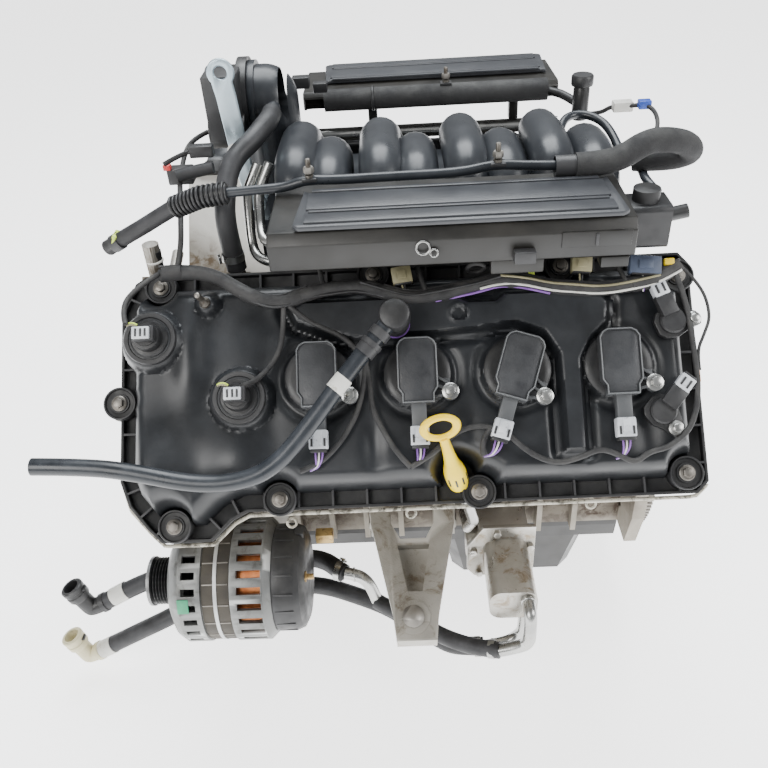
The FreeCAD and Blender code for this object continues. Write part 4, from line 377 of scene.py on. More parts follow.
cast_grey = finish("cast_grey", (0.16, 0.146, 0.122), (0.30, 0.28, 0.245), (0.42, 0.66), 0.65, patch=14.0,
    grain=520.0, relief=0.5, stain=((0.10, 0.072, 0.045), 0.55), wear=(0.58, 0.56, 0.52))
block_brown = finish("block_brown", (0.085, 0.070, 0.052), (0.20, 0.175, 0.14), (0.5, 0.8), 0.45, patch=16.0,
    grain=420.0, relief=0.6, stain=((0.045, 0.028, 0.017), 0.6), dust_and_sheen=((0.17, 0.14, 0.10), 0.45, 26.0),
    wear=(0.36, 0.33, 0.28))
mount_grey = finish("mount_grey", (0.22, 0.206, 0.176), (0.36, 0.34, 0.30), (0.45, 0.68), 0.55, patch=11.0,
    grain=480.0, relief=0.55, stain=((0.15, 0.12, 0.085), 0.42), wear=(0.60, 0.58, 0.53))
housing_grey = finish("housing_grey", (0.14, 0.143, 0.14), (0.26, 0.263, 0.255), (0.36, 0.58), 0.75, patch=15.0,
    grain=600.0, relief=0.35, stain=((0.11, 0.11, 0.10), 0.4), wear=(0.58, 0.59, 0.58))
steel_bright = finish("steel_bright", (0.36, 0.36, 0.35), (0.54, 0.54, 0.52), (0.20, 0.36), 1.0, patch=12.0,
    grain=900.0, relief=0.12, stain=((0.32, 0.29, 0.24), 0.15))
cooler_steel = finish("cooler_steel", (0.30, 0.285, 0.25), (0.46, 0.44, 0.40), (0.26, 0.46), 0.9, patch=16.0,
    grain=800.0, relief=0.2, stain=((0.25, 0.2, 0.14), 0.4), wear=(0.78, 0.77, 0.74))
steel_dull = finish("steel_dull", (0.085, 0.078, 0.068), (0.17, 0.155, 0.135), (0.36, 0.58), 0.85, patch=40.0,
    stain=((0.05, 0.034, 0.022), 0.45), wear=(0.34, 0.32, 0.29))
zinc_blue = finish("zinc_blue", (0.46, 0.56, 0.62), (0.62, 0.72, 0.77), (0.25, 0.42), 0.6, patch=10.0, relief=0.06,
    stain=((0.50, 0.47, 0.36), 0.1))
pan_black = finish("pan_black", (0.010, 0.010, 0.010), (0.03, 0.029, 0.027), (0.3, 0.55), 0.0, patch=9.0,
    dust_and_sheen=((0.20, 0.17, 0.13), 0.4), coat=0.2)
pulley_black = finish("pulley_black", (0.02, 0.02, 0.021), (0.06, 0.06, 0.062), (0.3, 0.5), 0.7, patch=20.0,
    wear=(0.30, 0.30, 0.30))
stator_brown = finish("stator_brown", (0.045, 0.040, 0.034), (0.085, 0.075, 0.06), (0.5, 0.7), 0.5, patch=30.0,
    grain=900.0, relief=0.5)
copper = finish("copper", (0.42, 0.13, 0.045), (0.62, 0.24, 0.09), (0.28, 0.45), 0.85, patch=60.0)
cream = finish("cream", (0.60, 0.54, 0.33), (0.76, 0.70, 0.48), (0.35, 0.55), patch=20.0,
    stain=((0.40, 0.34, 0.2), 0.2))
bone_white = finish("bone_white", (0.62, 0.61, 0.56), (0.78, 0.77, 0.72), (0.4, 0.6), patch=24.0,
    stain=((0.42, 0.38, 0.30), 0.25))
sealant = finish("sealant", (0.42, 0.39, 0.31), (0.62, 0.59, 0.50), (0.45, 0.7), patch=30.0,
    stain=((0.10, 0.09, 0.07), 0.5))
plug_silver = finish("plug_silver", (0.50, 0.52, 0.55), (0.72, 0.74, 0.77), (0.25, 0.4), patch=50.0,
    stain=((0.12, 0.12, 0.13), 0.25))
yellow = finish("yellow", (0.95, 0.62, 0.0), (1.0, 0.74, 0.01), (0.28, 0.45), patch=14.0, relief=0.06,
    stain=((0.70, 0.42, 0.01), 0.08))
lime = finish("lime", (0.55, 0.72, 0.06), (0.70, 0.85, 0.12), (0.35, 0.5), patch=30.0)
red = finish("red", (0.55, 0.03, 0.03), (0.75, 0.07, 0.06), (0.3, 0.5), patch=30.0)
blue = finish("blue", (0.02, 0.06, 0.35), (0.05, 0.11, 0.50), (0.3, 0.5), patch=30.0)
violet = finish("violet", (0.16, 0.06, 0.30), (0.30, 0.14, 0.48), (0.35, 0.5), patch=30.0)
orange = finish("orange", (0.75, 0.25, 0.03), (0.9, 0.36, 0.05), (0.35, 0.5), patch=30.0)
olive = finish("olive", (0.20, 0.18, 0.10), (0.34, 0.31, 0.19), (0.4, 0.6), patch=30.0)
slate_blue = finish("slate_blue", (0.055, 0.07, 0.11), (0.10, 0.125, 0.18), (0.35, 0.5), patch=30.0)
green = finish("green", (0.03, 0.26, 0.13), (0.08, 0.40, 0.22), (0.4, 0.6), patch=40.0)
brass = finish("brass", (0.45, 0.30, 0.12), (0.62, 0.45, 0.2), (0.35, 0.55), 0.8, patch=40.0,
    stain=((0.2, 0.12, 0.06), 0.4))

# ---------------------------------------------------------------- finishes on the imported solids
NODE_FINISHES = (
    (block_brown, "cylinder_block"),
    (steel_dull, "main_bearing_caps crankshaft connecting_rods flexplate timing_chains"
        " camshaft_left_intake camshaft_left_exhaust camshaft_right_intake camshaft_right_exhaust"
        " valve_springs cam_followers"),
    (cast_grey, "pistons oil_pump front_cover cylinder_head_left cylinder_head_right cam_carriers"
        " water_pump belt_tensioner tensioner_arm"),
    (pan_black, "oil_pan"),
    (pulley_black, "crank_damper alternator_rotor water_pump_pulley"),
    (part_black, "chain_guides tensioner_pulley idler_pulley"),
    (steel_bright, "head_gaskets valves spark_plugs fuel_rails throttle_plate"))
for material, names in NODE_FINISHES:
    for name in names.split():
        painted(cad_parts[name], material)


# ---------------------------------------------------------------- cam covers
RAIL_H, CROWN_H = 345.0, 396.0
COVER_RIM = [(-605, 88), (-590, 120), (-579, 127), (-3, 127), (7, 115), (7, -117), (-5, -129), (-470, -131),
    (-486, -139), (-508, -160), (-560, -160), (-575, -146), (-595, -122), (-605, -95), (-605, -28),
    (-612, -26), (-619, -19), (-619, -5), (-612, 2), (-605, 4)]
DIPSTICK_AT = (-250, -103)
COVER_BOLTS = [(-545, -143), (-435, -119), (-229, -119), (-17, -108), (-604, -12), (-560, 112),
    (-330, 116), (-130, 116), (-8, 100)]
SOLENOIDS = [(-556, 46), (-466, -18)]
RIDGE = [(-418, 72), (-402, 80), (-244, 80), (-232, 73), (-206, 73), (-196, 80), (-104, 80), (-92, 66),
    (-94, 44), (-112, 26), (-122, 8), (-124, -84), (-146, -84), (-147, 14), (-160, 36), (-188, 47),
    (-228, 42), (-350, 36), (-380, 44), (-410, 56)]


def inside_by(points, outline):
    """How far each point lies inside a closed outline, negative outside it."""
    near, inside = np.full(len(points), 1e9), np.zeros(len(points), bool)
    corners = np.array(outline, float)
    for a, b in zip(corners, np.roll(corners, -1, 0)):
        side, away = b - a, points - a
        share = np.clip(away @ side / (side @ side), 0, 1)
        near = np.minimum(near, np.hypot(*(away - share[:, None] * side).T))
        crosses = (a[1] > points[:, 1]) != (b[1] > points[:, 1])
        meets = a[0] + (points[:, 1] - a[1]) * (b[0] - a[0]) / (b[1] - a[1] + 1e-12)
        inside ^= crosses & (points[:, 0] < meets)
    return np.where(inside, near, -near)


def eased(value, low, high):
    """A smooth step from 0 to 1 between two values."""
    share = np.clip((value - low) / (high - low), 0, 1)
    return share * share * (3 - 2 * share)


def swell(points, x, t, reach_x, reach_t, height):
    """A soft hump, or a hollow where the height is negative."""
    return height * np.exp(-((points[:, 0] - x) / reach_x) ** 2 - ((points[:, 1] - t) / reach_t) ** 2)


def crown_height(points, coils):
    """Height of the moulded crown: its walls, swells, pads, bosses and the separator's ridge."""
    edge = inside_by(points, COVER_RIM)
    clear = edge - 17.0
    for x, t in COVER_BOLTS + [DIPSTICK_AT]:
        clear = np.minimum(clear, np.hypot(points[:, 0] - x, points[:, 1] - t) - 17.0)
    rise = np.clip(clear / 24.0, 0, 1)
    high = CROWN_H - 51.0 * (1 - rise) ** 3
    inner = eased(clear, 4, 26)
    shapes = ((-556, -88, 30, 40, 13), (-520, 40, 16, 60, 9), (-474, -74, 30, 30, 8), (-586, 30, 18, 50, -4),
        (-430, 60, 30, 26, -6), (-505, -20, 24, 22, -5), (-440, -20, 14, 60, -3), (-334, -70, 9, 30, -4),
        (-237, -70, 10, 30, -3), (-62, -70, 12, 34, -4), (-300, -92, 26, 12, 2.5),
        (-200, -96, 26, 12, 2.5), (-40, 60, 26, 26, -4), (-40, -60, 18, 24, 3))
    for shape in shapes:
        high += inner * swell(points, *shape)
    for x in coils:
        away = np.hypot(points[:, 0] - x, points[:, 1])
        high = np.maximum(high - 3.0 * np.exp(-((away - 41) / 5.0) ** 2),
            CROWN_H + 6.0 - 12.0 * eased(away, 33.5, 38) - 90 * (away > 37))
    ridge = inside_by(points, [(x + coils[0] + 87.5, t) for x, t in RIDGE])
    high -= 5.0 * inner * np.exp(-((ridge + 7) / 4.5) ** 2)
    high = np.maximum(high, 407.0 - 14.0 * eased(-ridge, -4.0, 3.0) - 60 * (ridge < -6))
    ring_mark = np.hypot(points[:, 0] - coils[0] - 87.5 + 243, points[:, 1] - 60)
    high -= 2.2 * (1 - eased(ring_mark, 6.0, 8.0)) - 1.4 * np.exp(-((ring_mark - 9) / 1.6) ** 2)
    for x, t in SOLENOIDS:
        away = np.hypot(points[:, 0] - x, points[:, 1] - t)
        high = np.maximum(high, 412.0 - 3.0 * eased(away, 23.5, 26.5) - 22.0 * eased(away, 27.5, 38)
            - 90 * (away > 37))
    away = np.hypot(points[:, 0] + 500, points[:, 1] - 81)
    return np.maximum(high, 410.0 - 16.0 * eased(away, 6, 18) - 90 * (away > 17)), edge


def rim_walk(step):
    """Points along the cover's rim with the way inwards at each."""
    corners = [Vector(p) for p in COVER_RIM]
    for a, b in zip(corners, corners[1:] + corners[:1]):
        side = b - a
        inwards = Vector((side.y, -side.x)).normalized()
        count = max(1, round(side.length / step))
        for i in range(count):
            yield a + side * ((i + 0.5) / count), inwards


def cam_cover(side):
    """Moulded cover: crown, ribbed tray, screw cups, collars and, on the right, the filler neck."""
    only()
    bpy.ops.mesh.primitive_grid_add(x_subdivisions=278, y_subdivisions=132, size=1.0)
    crown = bpy.context.object
    count = len(crown.data.vertices)
    co = np.zeros(count * 3)
    crown.data.vertices.foreach_get("co", co)
    co = co.reshape(-1, 3)
    flat = np.column_stack((-299.0 + 614.0 * co[:, 0], -16.5 + 291.0 * co[:, 1]))
    high, edge = crown_height(flat, CYLINDER_X[side])
    co = np.column_stack((flat, high)) * MM
    crown.data.vertices.foreach_set("co", co.ravel())
    editing(crown)
    bpy.ops.mesh.select_all(action="DESELECT")
    bpy.ops.object.mode_set(mode="OBJECT")
    crown.data.vertices.foreach_set("select", edge < 13.0)
    bpy.ops.object.mode_set(mode="EDIT")
    bpy.ops.mesh.select_mode(type="VERT")
    bpy.ops.mesh.delete(type="VERT")
    bpy.ops.object.mode_set(mode="OBJECT")
    painted(crown, cover_black)
    tray = painted(slab(COVER_RIM, RAIL_H, RAIL_H + 11, 0.7, rim=3.4, sink=8.0), channel_black)
    parts = [crown, tray]
    for spot, inwards in rim_walk(37.0):
        mid = spot + inwards * 10.5
        rib = block((18.0, 2.2, 8.5), edge=0.0)
        moved(rib, shift(mid.x, mid.y, RAIL_H + 6.6), turn(math.degrees(math.atan2(inwards.y, inwards.x))))
        parts.append(painted(rib, channel_black))
    for x, t in COVER_BOLTS:
        cup = turned([(17.5, RAIL_H + 1), (17.5, 362.8), (17.0, 363.7), (15.6, 363.7), (15.0, 363), (14.6, 361.5),
                (10.5, 361.0), (10.3, 362.6), (0, 362.6)], 32)
        parts.append(painted(cup, channel_black, shift(x, t, 0)))
    for x, t in SOLENOIDS:
        collar = turned([(27.0, 408), (27.0, 411.5), (26.0, 413), (22.0, 413), (21.0, 411.5), (19.4, 411.5),
                (19.4, 408)], 40)
        parts.append(painted(collar, part_black, shift(x, t, 0)))
    if side == RIGHT:
        neck = turned([(30, 394), (28, 400), (26, 402), (26, 407.6), (20, 407.6), (20, 396)], 40)
        parts.append(painted(neck, cover_black, shift(-498, 60, 0)))
    cover = joined(parts)
    moved(cover, BANK[side])
    node_name = "cam_cover_left" if side == LEFT else "cam_cover_right"
    return fitted(cover, node_name + "_moulded", replaces=(node_name,), angle=42.0)


cam_cover(LEFT)
cam_cover(RIGHT)

# ---------------------------------------------------------------- ignition coils
def ignition_coil():
    """Coil on its plug well: potted body in a raised rim, ribbed ear, screw and plug."""
    outline = [(-20, 27), (-17, 32), (-12, 35), (12, 35), (17, 32), (20, 27), (20, -16), (16, -22), (16, -31),
        (-16, -31), (-16, -22), (-20, -16)]
    screw_at = shift(32, -20, 0)
    parts = [painted(slab(outline, 402, 417.5, 1.2, rim=1.7, sink=2.4), coil_grey),
        painted(slab([(x * 0.9, t * 0.92) for x, t in outline], 413, 415.6, 0.5), potting_grey),
        painted(turned([(33.5, 401), (33.5, 402.5), (31.5, 404), (26, 404.6), (0, 404.6)]), part_black),
        painted(turned([(8.6, 402.0), (8.6, 409.6), (7.8, 410.2), (5, 410.2), (5, 402.0)], 28), coil_grey, screw_at),
        painted(turned([(8.4, 410.1), (8.4, 411.4), (6.6, 412.2), (5.0, 412.4), (0, 412.4)], 28), steel_bright,
            screw_at)]
    for x, t, length, angle in ((21, -6, 26, -32), (22, -15, 22, -18), (22, -24, 16, 10)):
        parts.append(painted(block((length, 2.6, 8.0), edge=0.5), coil_grey, shift(x, t, 406), turn(angle)))
    only()
    bpy.ops.mesh.primitive_cylinder_add(vertices=6, radius=5.2 * MM, depth=5.0 * MM, location=(0.032, -0.020, 0.4148))
    head = bpy.context.object
    bpy.ops.object.transform_apply(location=True)
    parts.append(painted(bevelled(head, 0.5), steel_bright))
    parts += blocks(((20, 18, 3.0), (22, -15, 404), 0.6, coil_grey), ((15, 26, 11.5),
        (0, -42, 408.5), 1.2, coil_grey),
        ((18.6, 19, 13.6), (0, -63, 409.6), 1.4, plug_silver), ((8, 12, 2.4), (0, -61, 417.2), 0.6, plug_silver),
        ((2.2, 8, 0.9), (-6.4, -66, 416.5), 0.2, part_black), ((2.2, 8, 0.9), (6.4, -66, 416.5), 0.2, part_black),
        ((16.4, 3.4, 12.2), (0, -74.0, 409.4), 0.6, part_black))
    for x, material in ((-3.5, violet), (0.0, bone_white), (3.5, violet)):
        parts += tubes(([(x, -74, 410), (x, -80, 411), (x * 0.6 - 1, -86, 408), (x * 0.3 - 4, -91, 405),
            (-10, -93, 403.5)], 0.95, 3, material))
    return joined(parts)


pattern = ignition_coil()
for side in (LEFT, RIGHT):
    coils = []
    for x in CYLINDER_X[side]:
        sat = -18.0 if side == LEFT and x == -187.5 else 0.0
        coils.append(moved(copied(pattern), BANK[side], shift(x, 0, 0), turn(sat)))
    node_name = "ignition_coils_left" if side == LEFT else "ignition_coils_right"
    fitted(joined(coils), node_name + "_detailed", replaces=(node_name,))
bpy.data.objects.remove(pattern)


# ---------------------------------------------------------------- cam solenoids and sensors
def clear_plug(size, colour, tail=()):
    """A small connector shell: keyed body, latch, dark mouth and its wires."""
    a, b, c = size
    parts = blocks(((a, b, c), (0, 0, c / 2), 1.0, colour), ((a * 0.45, b * 0.5, 1.8), (0, 0, c + 0.6), 0.5, colour),
        ((a * 0.84, 2.6, c * 0.8), (0, -b / 2, c / 2), 0.4, part_black))
    for i, material in enumerate(tail):
        x = (i - (len(tail) - 1) / 2) * 2.6
        parts += tubes(([(x, -b / 2, c / 2), (x, -b / 2 - 6, c / 2 + 1), (x * 0.5, -b / 2 - 12, c / 2),
            (0, -b / 2 - 17, c / 2 - 2)], 0.9, 3, material))
    return joined(parts)


def cam_sensor():
    """Position sensor: eared plate, puck, bolt and the plug on its neck."""
    parts = [painted(slab([(-17, -8), (-12, -14), (0, -17), (12, -14), (26, -13), (29, -6), (26, 1), (14, 9), (0, 17),
            (-12, 13), (-17, 6)], 396, 403, 1.2), part_black),
        painted(turned([(13, 402), (13, 407), (11.5, 408.6), (0, 408.6)], 32), part_black),
        painted(turned([(7.6, 403), (7.6, 404.4), (6.0, 405.2), (4.6, 405.4), (4.4, 409.5), (3.6, 410),
            (0, 410)], 24),
            steel_bright, shift(20, -6, 0))]
    return joined(parts + blocks(((17, 22, 11), (0, 17, 406.4), 1.2, part_black),
        ((15.5, 15, 10.5), (0, 34, 407.4), 1.0, plug_silver), ((2.2, 9, 0.9), (-3.4, 34, 412.8), 0.2, part_black),
        ((2.2, 9, 0.9), (3.4, 34, 412.8), 0.2, part_black), ((13, 3, 9), (0, 42.4, 407), 0.4, part_black)))


for side in (LEFT, RIGHT):
    parts = []
    for x, t in SOLENOIDS:
        parts.append(painted(turned([(19.0, 405), (19.0, 413.5), (17.5, 415.4), (14.6, 415.8), (14.2, 421),
            (13.0, 424.2), (10.5, 424.6), (10.0, 426), (0, 426)]), part_black, shift(x, t, 0)))
        parts += blocks(((22, 15, 9.5), (x, t + 1, 430.5), 1.2, part_black),
            ((17, 12, 4.0), (x - 1, t + 1, 436.6), 0.8, plug_silver),
            *[((2.0, 8, 1.0), (x - 1 + dx, t + 1, 438.8), 0.2, part_black) for dx in (-4.5, 0.5, 5.0)])
        for i, material in enumerate((olive, lime)):
            parts += tubes(([(x - 6, t + 8 + i * 2, 432), (x - 12, t + 12 + i * 2, 433), (x - 17, t + 10 + i, 430)],
                0.9, 3, material))
    for x, t, angle in ((-31.0, 42.0, 20.0), (-48.0, -48.0, -40.0)):
        parts.append(moved(cam_sensor(), shift(x + BANK_SHIFT[side], t, 0), turn(angle)))
    fitted(moved(joined(parts), BANK[side]), "cam_fittings_" + ("left" if side == LEFT else "right"),
        replaces=("cam_solenoids", "cam_sensors"))

# ---------------------------------------------------------------- screws, studs and the filler cap
parts = []
for side in (LEFT, RIGHT):
    for x, t in COVER_BOLTS:
        only()
        bpy.ops.mesh.primitive_cylinder_add(vertices=6, radius=5.6 * MM, depth=6.0 * MM)
        head = bevelled(bpy.context.object, 0.7)
        flange = turned([(8.2, -3), (8.2, -1.8), (6.8, -0.8), (0, -0.8)], 28)
        parts.append(moved(painted(joined([head, flange]), steel_dull), BANK[side], shift(x, t, 366.0)))
stud = turned([(7.5, 404), (7.0, 408), (5.2, 411), (5.2, 413), (3.0, 413.5), (3.0, 440), (2.4, 441), (0, 441)], 24)
parts.append(moved(painted(stud, steel_dull), BANK[LEFT], shift(-500, 81, 0)))
packed("fasteners")
bpy.ops.mesh.separate(type="LOOSE")
bpy.ops.object.mode_set(mode="OBJECT")
for bolt in list(bpy.context.selected_objects):
    if max((bolt.matrix_world @ v.co).z for v in bolt.data.vertices) < 0.1:
        parts.append(painted(bolt, steel_dull))
    else:
        bpy.data.objects.remove(bolt)
fitted(joined(parts), "cover_screws", replaces=("fasteners",))
softened("oil_filler_cap", 0.9, part_black, "filler_cap")

# ---------------------------------------------------------------- intake manifold
NEAR_TOPS = [-88.0 - 95.0 * i for i in range(4)]
FAR_TOPS = [-134.0 - 91.3 * i for i in range(4)]
runners = []
for x, top in zip(CYLINDER_X[LEFT], NEAR_TOPS):
    line = [(x, -113, 289), (x, -122, 318), (top, -128, 368), (top, -130, 424), (top, -78, 424), (top, -28, 424),
        (top, -26, 390), (top, -26, 352)]
    runners.append(tube(line, 22.0, (1, 1, 1.02, 1.08, 1.12, 1.08, 1.02, 1.0), order=4, sides=8))
for x, top in zip(CYLINDER_X[RIGHT], FAR_TOPS):
    line = [(top, -126, 328), (top, -127, 380), (top, -128, 432), (top, -84, 433), (top, -40, 433),
        (top - 2, -4, 431), (x, 60, 394), (x, 106, 350), (x, 113, 289)]
    runners.append(tube(line, 22.0, (1, 1.02, 1.06, 1.12, 1.12, 1.06, 1.02, 1, 1), order=4, sides=8))
seams = []
for top in NEAR_TOPS + FAR_TOPS:
    high = 431.0 if top in FAR_TOPS else 421.0
    band = painted(ring(22.6, 1.3, 36), runner_slate)
    seams.append(moved(band, shift(top, -127, high - 34)))
webs = []
for i in range(3):
    x = (NEAR_TOPS[i] + FAR_TOPS[i]) / 2 - 2
    webs.append(painted(block((26, 3.0, 46), (x, -120, 392), 1.0), runner_slate))
    webs.append(painted(block((30, 40, 3.0), (x, -92, 392), 1.0), runner_slate))
intake = joined([painted(r, runner_slate) for r in runners] + seams + webs)
fitted(intake, "intake_runners")
softened("intake_manifold", 0.8, runner_slate)


# ---------------------------------------------------------------- acoustic boxes and their trim
def trim_plate(side):
    """Trim plate: sloping borders, a wide bare band and long grooves between raised bars."""
    parts = [painted(slab([(-392, 184), (-386, 190), (-100, 190), (-94, 184), (-90, 263), (-96, 267), (-392, 267),
            (-397, 262)], 436.4, 441.6, 1.6), plate_grey)]
    for low, high, lift in ((187, 193, 1.6), (195.5, 233, 1.3), (235.5, 240, 1.6), (242.5, 262, 1.4)):
        bar = block((286 if lift < 1.5 else 280, high - low, 3.0), (-243.5, (low + high) / 2, 441.3 + lift - 0.6),
            0.9)
        parts.append(painted(bar, plate_grey))
    plate = joined(parts)
    return moved(plate, Matrix.Diagonal((1, side, 1, 1)))


softened("rail_covers", 1.6, box_black)
for side, name in ((LEFT, "near"), (RIGHT, "far")):
    fitted(trim_plate(side), name + "_trim_plate", replaces=("trim_plates",))
details = blocks(((64, 3.0, 16), (-119, -269.6, 417), 1.0, box_black),
    ((3, 2.0, 12), (-119, -271.4, 417), 0.4, part_black),
    ((26, 16, 11), (-100, -262, 392), 1.2, box_black),
    ((50, 10, 16), (-190, -262, 391), 2.0, box_black))
clip = painted(ring(6.2, 1.1, 28), steel_bright, shift(-278, -272, 417), turn(78, "X"))
clip2 = painted(ring(3.6, 1.0, 24), steel_bright, shift(-268, -273, 412), turn(70, "X"))
fitted(joined(details + [clip, clip2]), "box_details")


# ---------------------------------------------------------------- hoses and pipes
def clamp(at, way, radius, tab=0.0):
    """Spring clamp: a flat band with two raised tabs."""
    band = turned([(radius, -4), (radius + 1.0, -4), (radius + 1.0, 4), (radius, 4), (radius, -4)], 36)
    tabs = [block((3.0, 1.2, 8), (radius + 3.4, dy, 0), 0.3) for dy in (-4, 4)]
    return painted(joined([band] + tabs), steel_bright, shift(*at), along(way), turn(tab))


def over(x, t, h=LEAD_H):
    """A point above the left cover."""
    return tuple(BANK[LEFT] @ Vector((x, t, h)))


breather = painted(tube([over(-307, 50, 448), over(-330, 25, 447.5), over(-358, -8, 446), over(-380, -36, 443),
        over(-403, -64, 440), over(-424, -86, 438), over(-452, -101, 436), over(-500, -104, 434),
        over(-568, -88, 436), over(-612, -82, 437), over(-661, -80, 438)], 8.6, sides=8),
    hose_gloss)
drum = painted(turned([(9.4, 406.4), (13, 406.4), (13.4, 408), (13.4, 420), (12.4, 422), (12.4, 428),
        (14.6, 431), (15.2, 436), (15.2, 456), (14.0, 458.6), (11, 460), (4, 460.4), (0, 460.4)]),
    part_black, BANK[LEFT], shift(-307, 50, 0))
ring_band = painted(turned([(13.5, 408), (14.2, 408), (14.2, 411.5), (13.5, 411.5), (13.5, 408)], 36), violet,
    BANK[LEFT], shift(-307, 50, 0))
way = Vector(over(-358, -8, 446)) - Vector(over(-307, 50, 448))
collars = []
for share, radius, length in ((0.30, 10.6, 9), (0.46, 11.2, 5), (0.54, 10.4, 12)):
    at = Vector(over(-307, 50, 448)) + way * share
    collar = turned([(8.4, -length / 2), (radius, -length / 2), (radius, length / 2), (8.4, length / 2)], 32)
    collars.append(painted(collar, part_black, shift(*at), along(way)))
at = Vector(over(-358, -8, 446)) + (Vector(over(-380, -36, 443)) - Vector(over(-358, -8, 446))) * 0.2
label = turned([(8.4, -8), (9.1, -8), (9.1, 8), (8.4, 8)], 32)
label = painted(label, bone_white, shift(*at), along(way))
fitted(joined([breather, drum, ring_band, label] + collars), "breather_tube",
    replaces=("breather_hose",))

top_tube = painted(tube([(-470, -176, 440), (-440, -176, 441.5), (-412, -176, 442.5), (-388, -177, 450),
        (-362, -177, 448), (-300, -177, 449), (-236, -177, 449), (-202, -177, 456),
        (-166, -177, 452), (-109, -176, 450)], 5.0, sides=5), hose_gloss)
foam = painted(tube([(-124, -176, 450), (-109, -176, 450), (-80, -174, 453), (-52, -160, 465), (-26, -154, 463),
        (-6, -148, 455), (4, -134, 440), (-16, -119, 428), (-46, -104, 424)], 12.2, sides=8), foam_black)
cuff = painted(turned([(9.0, -10), (10.4, -10), (10.4, 10), (9.0, 10)], 32), part_black, shift(-134, -176, 450),
    turn(90, "Y"))
cuff_line = [Vector((-470, -176, 440)), Vector((-500, -175, 438)), Vector((-530, -170, 424))]
bellows = [painted(tube([tuple(v) for v in cuff_line], 9.6, sides=8), part_black)]
for i in range(13):
    share = (i + 0.6) / 13.4
    a, b = (cuff_line[0], cuff_line[1]) if share < 0.45 else (cuff_line[1], cuff_line[2])
    k = share / 0.45 if share < 0.45 else (share - 0.45) / 0.55
    turn_way = (cuff_line[1] - cuff_line[0]).lerp(cuff_line[2] - cuff_line[1], share)
    at = a.lerp(b, k) + Vector((0, 0, -1.8)) * (1 - abs(2 * share - 1))
    bellows.append(painted(ring(10.2, 1.7, 32), part_black, shift(*at), along(turn_way)))
tail = painted(tube([(-526, -170.5, 426), (-542, -167, 417), (-568, -164, 402), (-596, -160, 387),
        (-612, -158, 377)], 8.4, sides=8), rubber_black)
end_way = Vector((-614, -158, 376)) - Vector((-568, -164, 402))
socket = painted(turned([(6, -12), (9.6, -12), (9.6, -2), (8.2, 0), (8.2, 8), (6.4, 8), (6.4, -8)], 32), part_black,
    shift(-606, -159, 381), along(end_way))
lock = painted(joined([block((5, 16, 4), (0, 0, 9), 0.8), block((3.5, 3, 14), (0, 8, 3), 0.6),
        block((3.5, 3, 14), (0, -8, 3), 0.6)]), lime, shift(-603, -159, 384), turn(20, "Y"))
far_pipe = painted(tube([(-392, 137.7, 430), (-100, 137.7, 430)], 14.0, order=2, sides=9), foam_black)
studs = []
for x, y, z in ((-386, -177, 450), (-200, -177, 456), (-232, 137, 444)):
    post = turned([(4.4, -2), (4.4, 2), (2.6, 3), (2.6, 17), (2.0, 18), (0, 18)], 20)
    nut = turned([(5.2, 4), (5.4, 5), (5.4, 9), (4.6, 10), (0, 10)], 6)
    foot = block((15, 12, 4), (0, 0, -2.5), 1.0)
    studs.append(moved(joined([painted(post, steel_dull), painted(nut, steel_dull), painted(foot, part_black)]),
            shift(x, y, z + 3)))
fitted(joined([top_tube, foam, cuff, tail, socket, lock, far_pipe] + bellows + studs), "vapour_lines",
    replaces=("vapour_tubes",))

outlet = painted(tube([(-482, -143, 337), (-484, -142, 360), (-486, -140, 396), (-484, -124, 420), (-480, -104, 437),
        (-470, -86, 448), (-456, -70, 455), (-446, -52, 463), (-440, -38, 466), (-440, -14.5, 466)],
        11.2, sides=8), rubber_black)
upper = painted(tube([(-722, -236, -110), (-690, -229, -96), (-655, -222, -84), (-622, -208, -83), (-590, -197, -84),
        (-520, -194, -84), (-440, -193, -84), (-416, -208, -78), (-404, -222, -75), (-393, -230, -76)],
        12.0, sides=8), rubber_black)
lower = painted(tube([(-750, -245, -204), (-696, -240, -176), (-640, -236, -147), (-600, -221, -133),
        (-560, -206, -124), (-500, -201, -127), (-430, -199, -135), (-385, -205, -152), (-340, -214, -169),
        (-305, -243, -168), (-272, -278, -157), (-255, -292, -152), (-236, -294.5, -152),
        (-214.5, -296, -152)], 12.0, sides=8), rubber_black)
tail_hose = painted(tube([(-351.8, -242.5, -120), (-346, -247, -121), (-310, -272, -118), (-286, -286, -123),
        (-262, -299, -128), (-232, -312, -128), (-214, -317, -127), (-197, -323.5, -122.4)],
        10.5, sides=8), rubber_black)
clamps = [clamp((-400, -226, -76), (1, -0.4, 0), 12.3, 90), clamp((-222, -296, -152), (1, 0, 0), 12.3, 60),
    clamp((-206, -319, -126), (1, -0.3, 0.2), 10.8, 60), clamp((-484, -142, 352), (0, 0, 1), 11.6, 200)]
tapes = []
for at, toward, radius in (((-700, -231, -100), (-0.9, -0.2, -0.4), 12.2),
        ((-738, -244, -198), (-0.88, -0.07, -0.46), 12.2)):
    band = turned([(radius - 0.6, -11), (radius + 0.4, -11), (radius + 0.4, 11), (radius - 0.6, 11)], 32)
    tapes.append(painted(band, bone_white, shift(*at), along(toward)))
fitted(joined([outlet, upper, lower, tail_hose] + clamps + tapes), "coolant_lines",
    replaces=("coolant_hoses",))

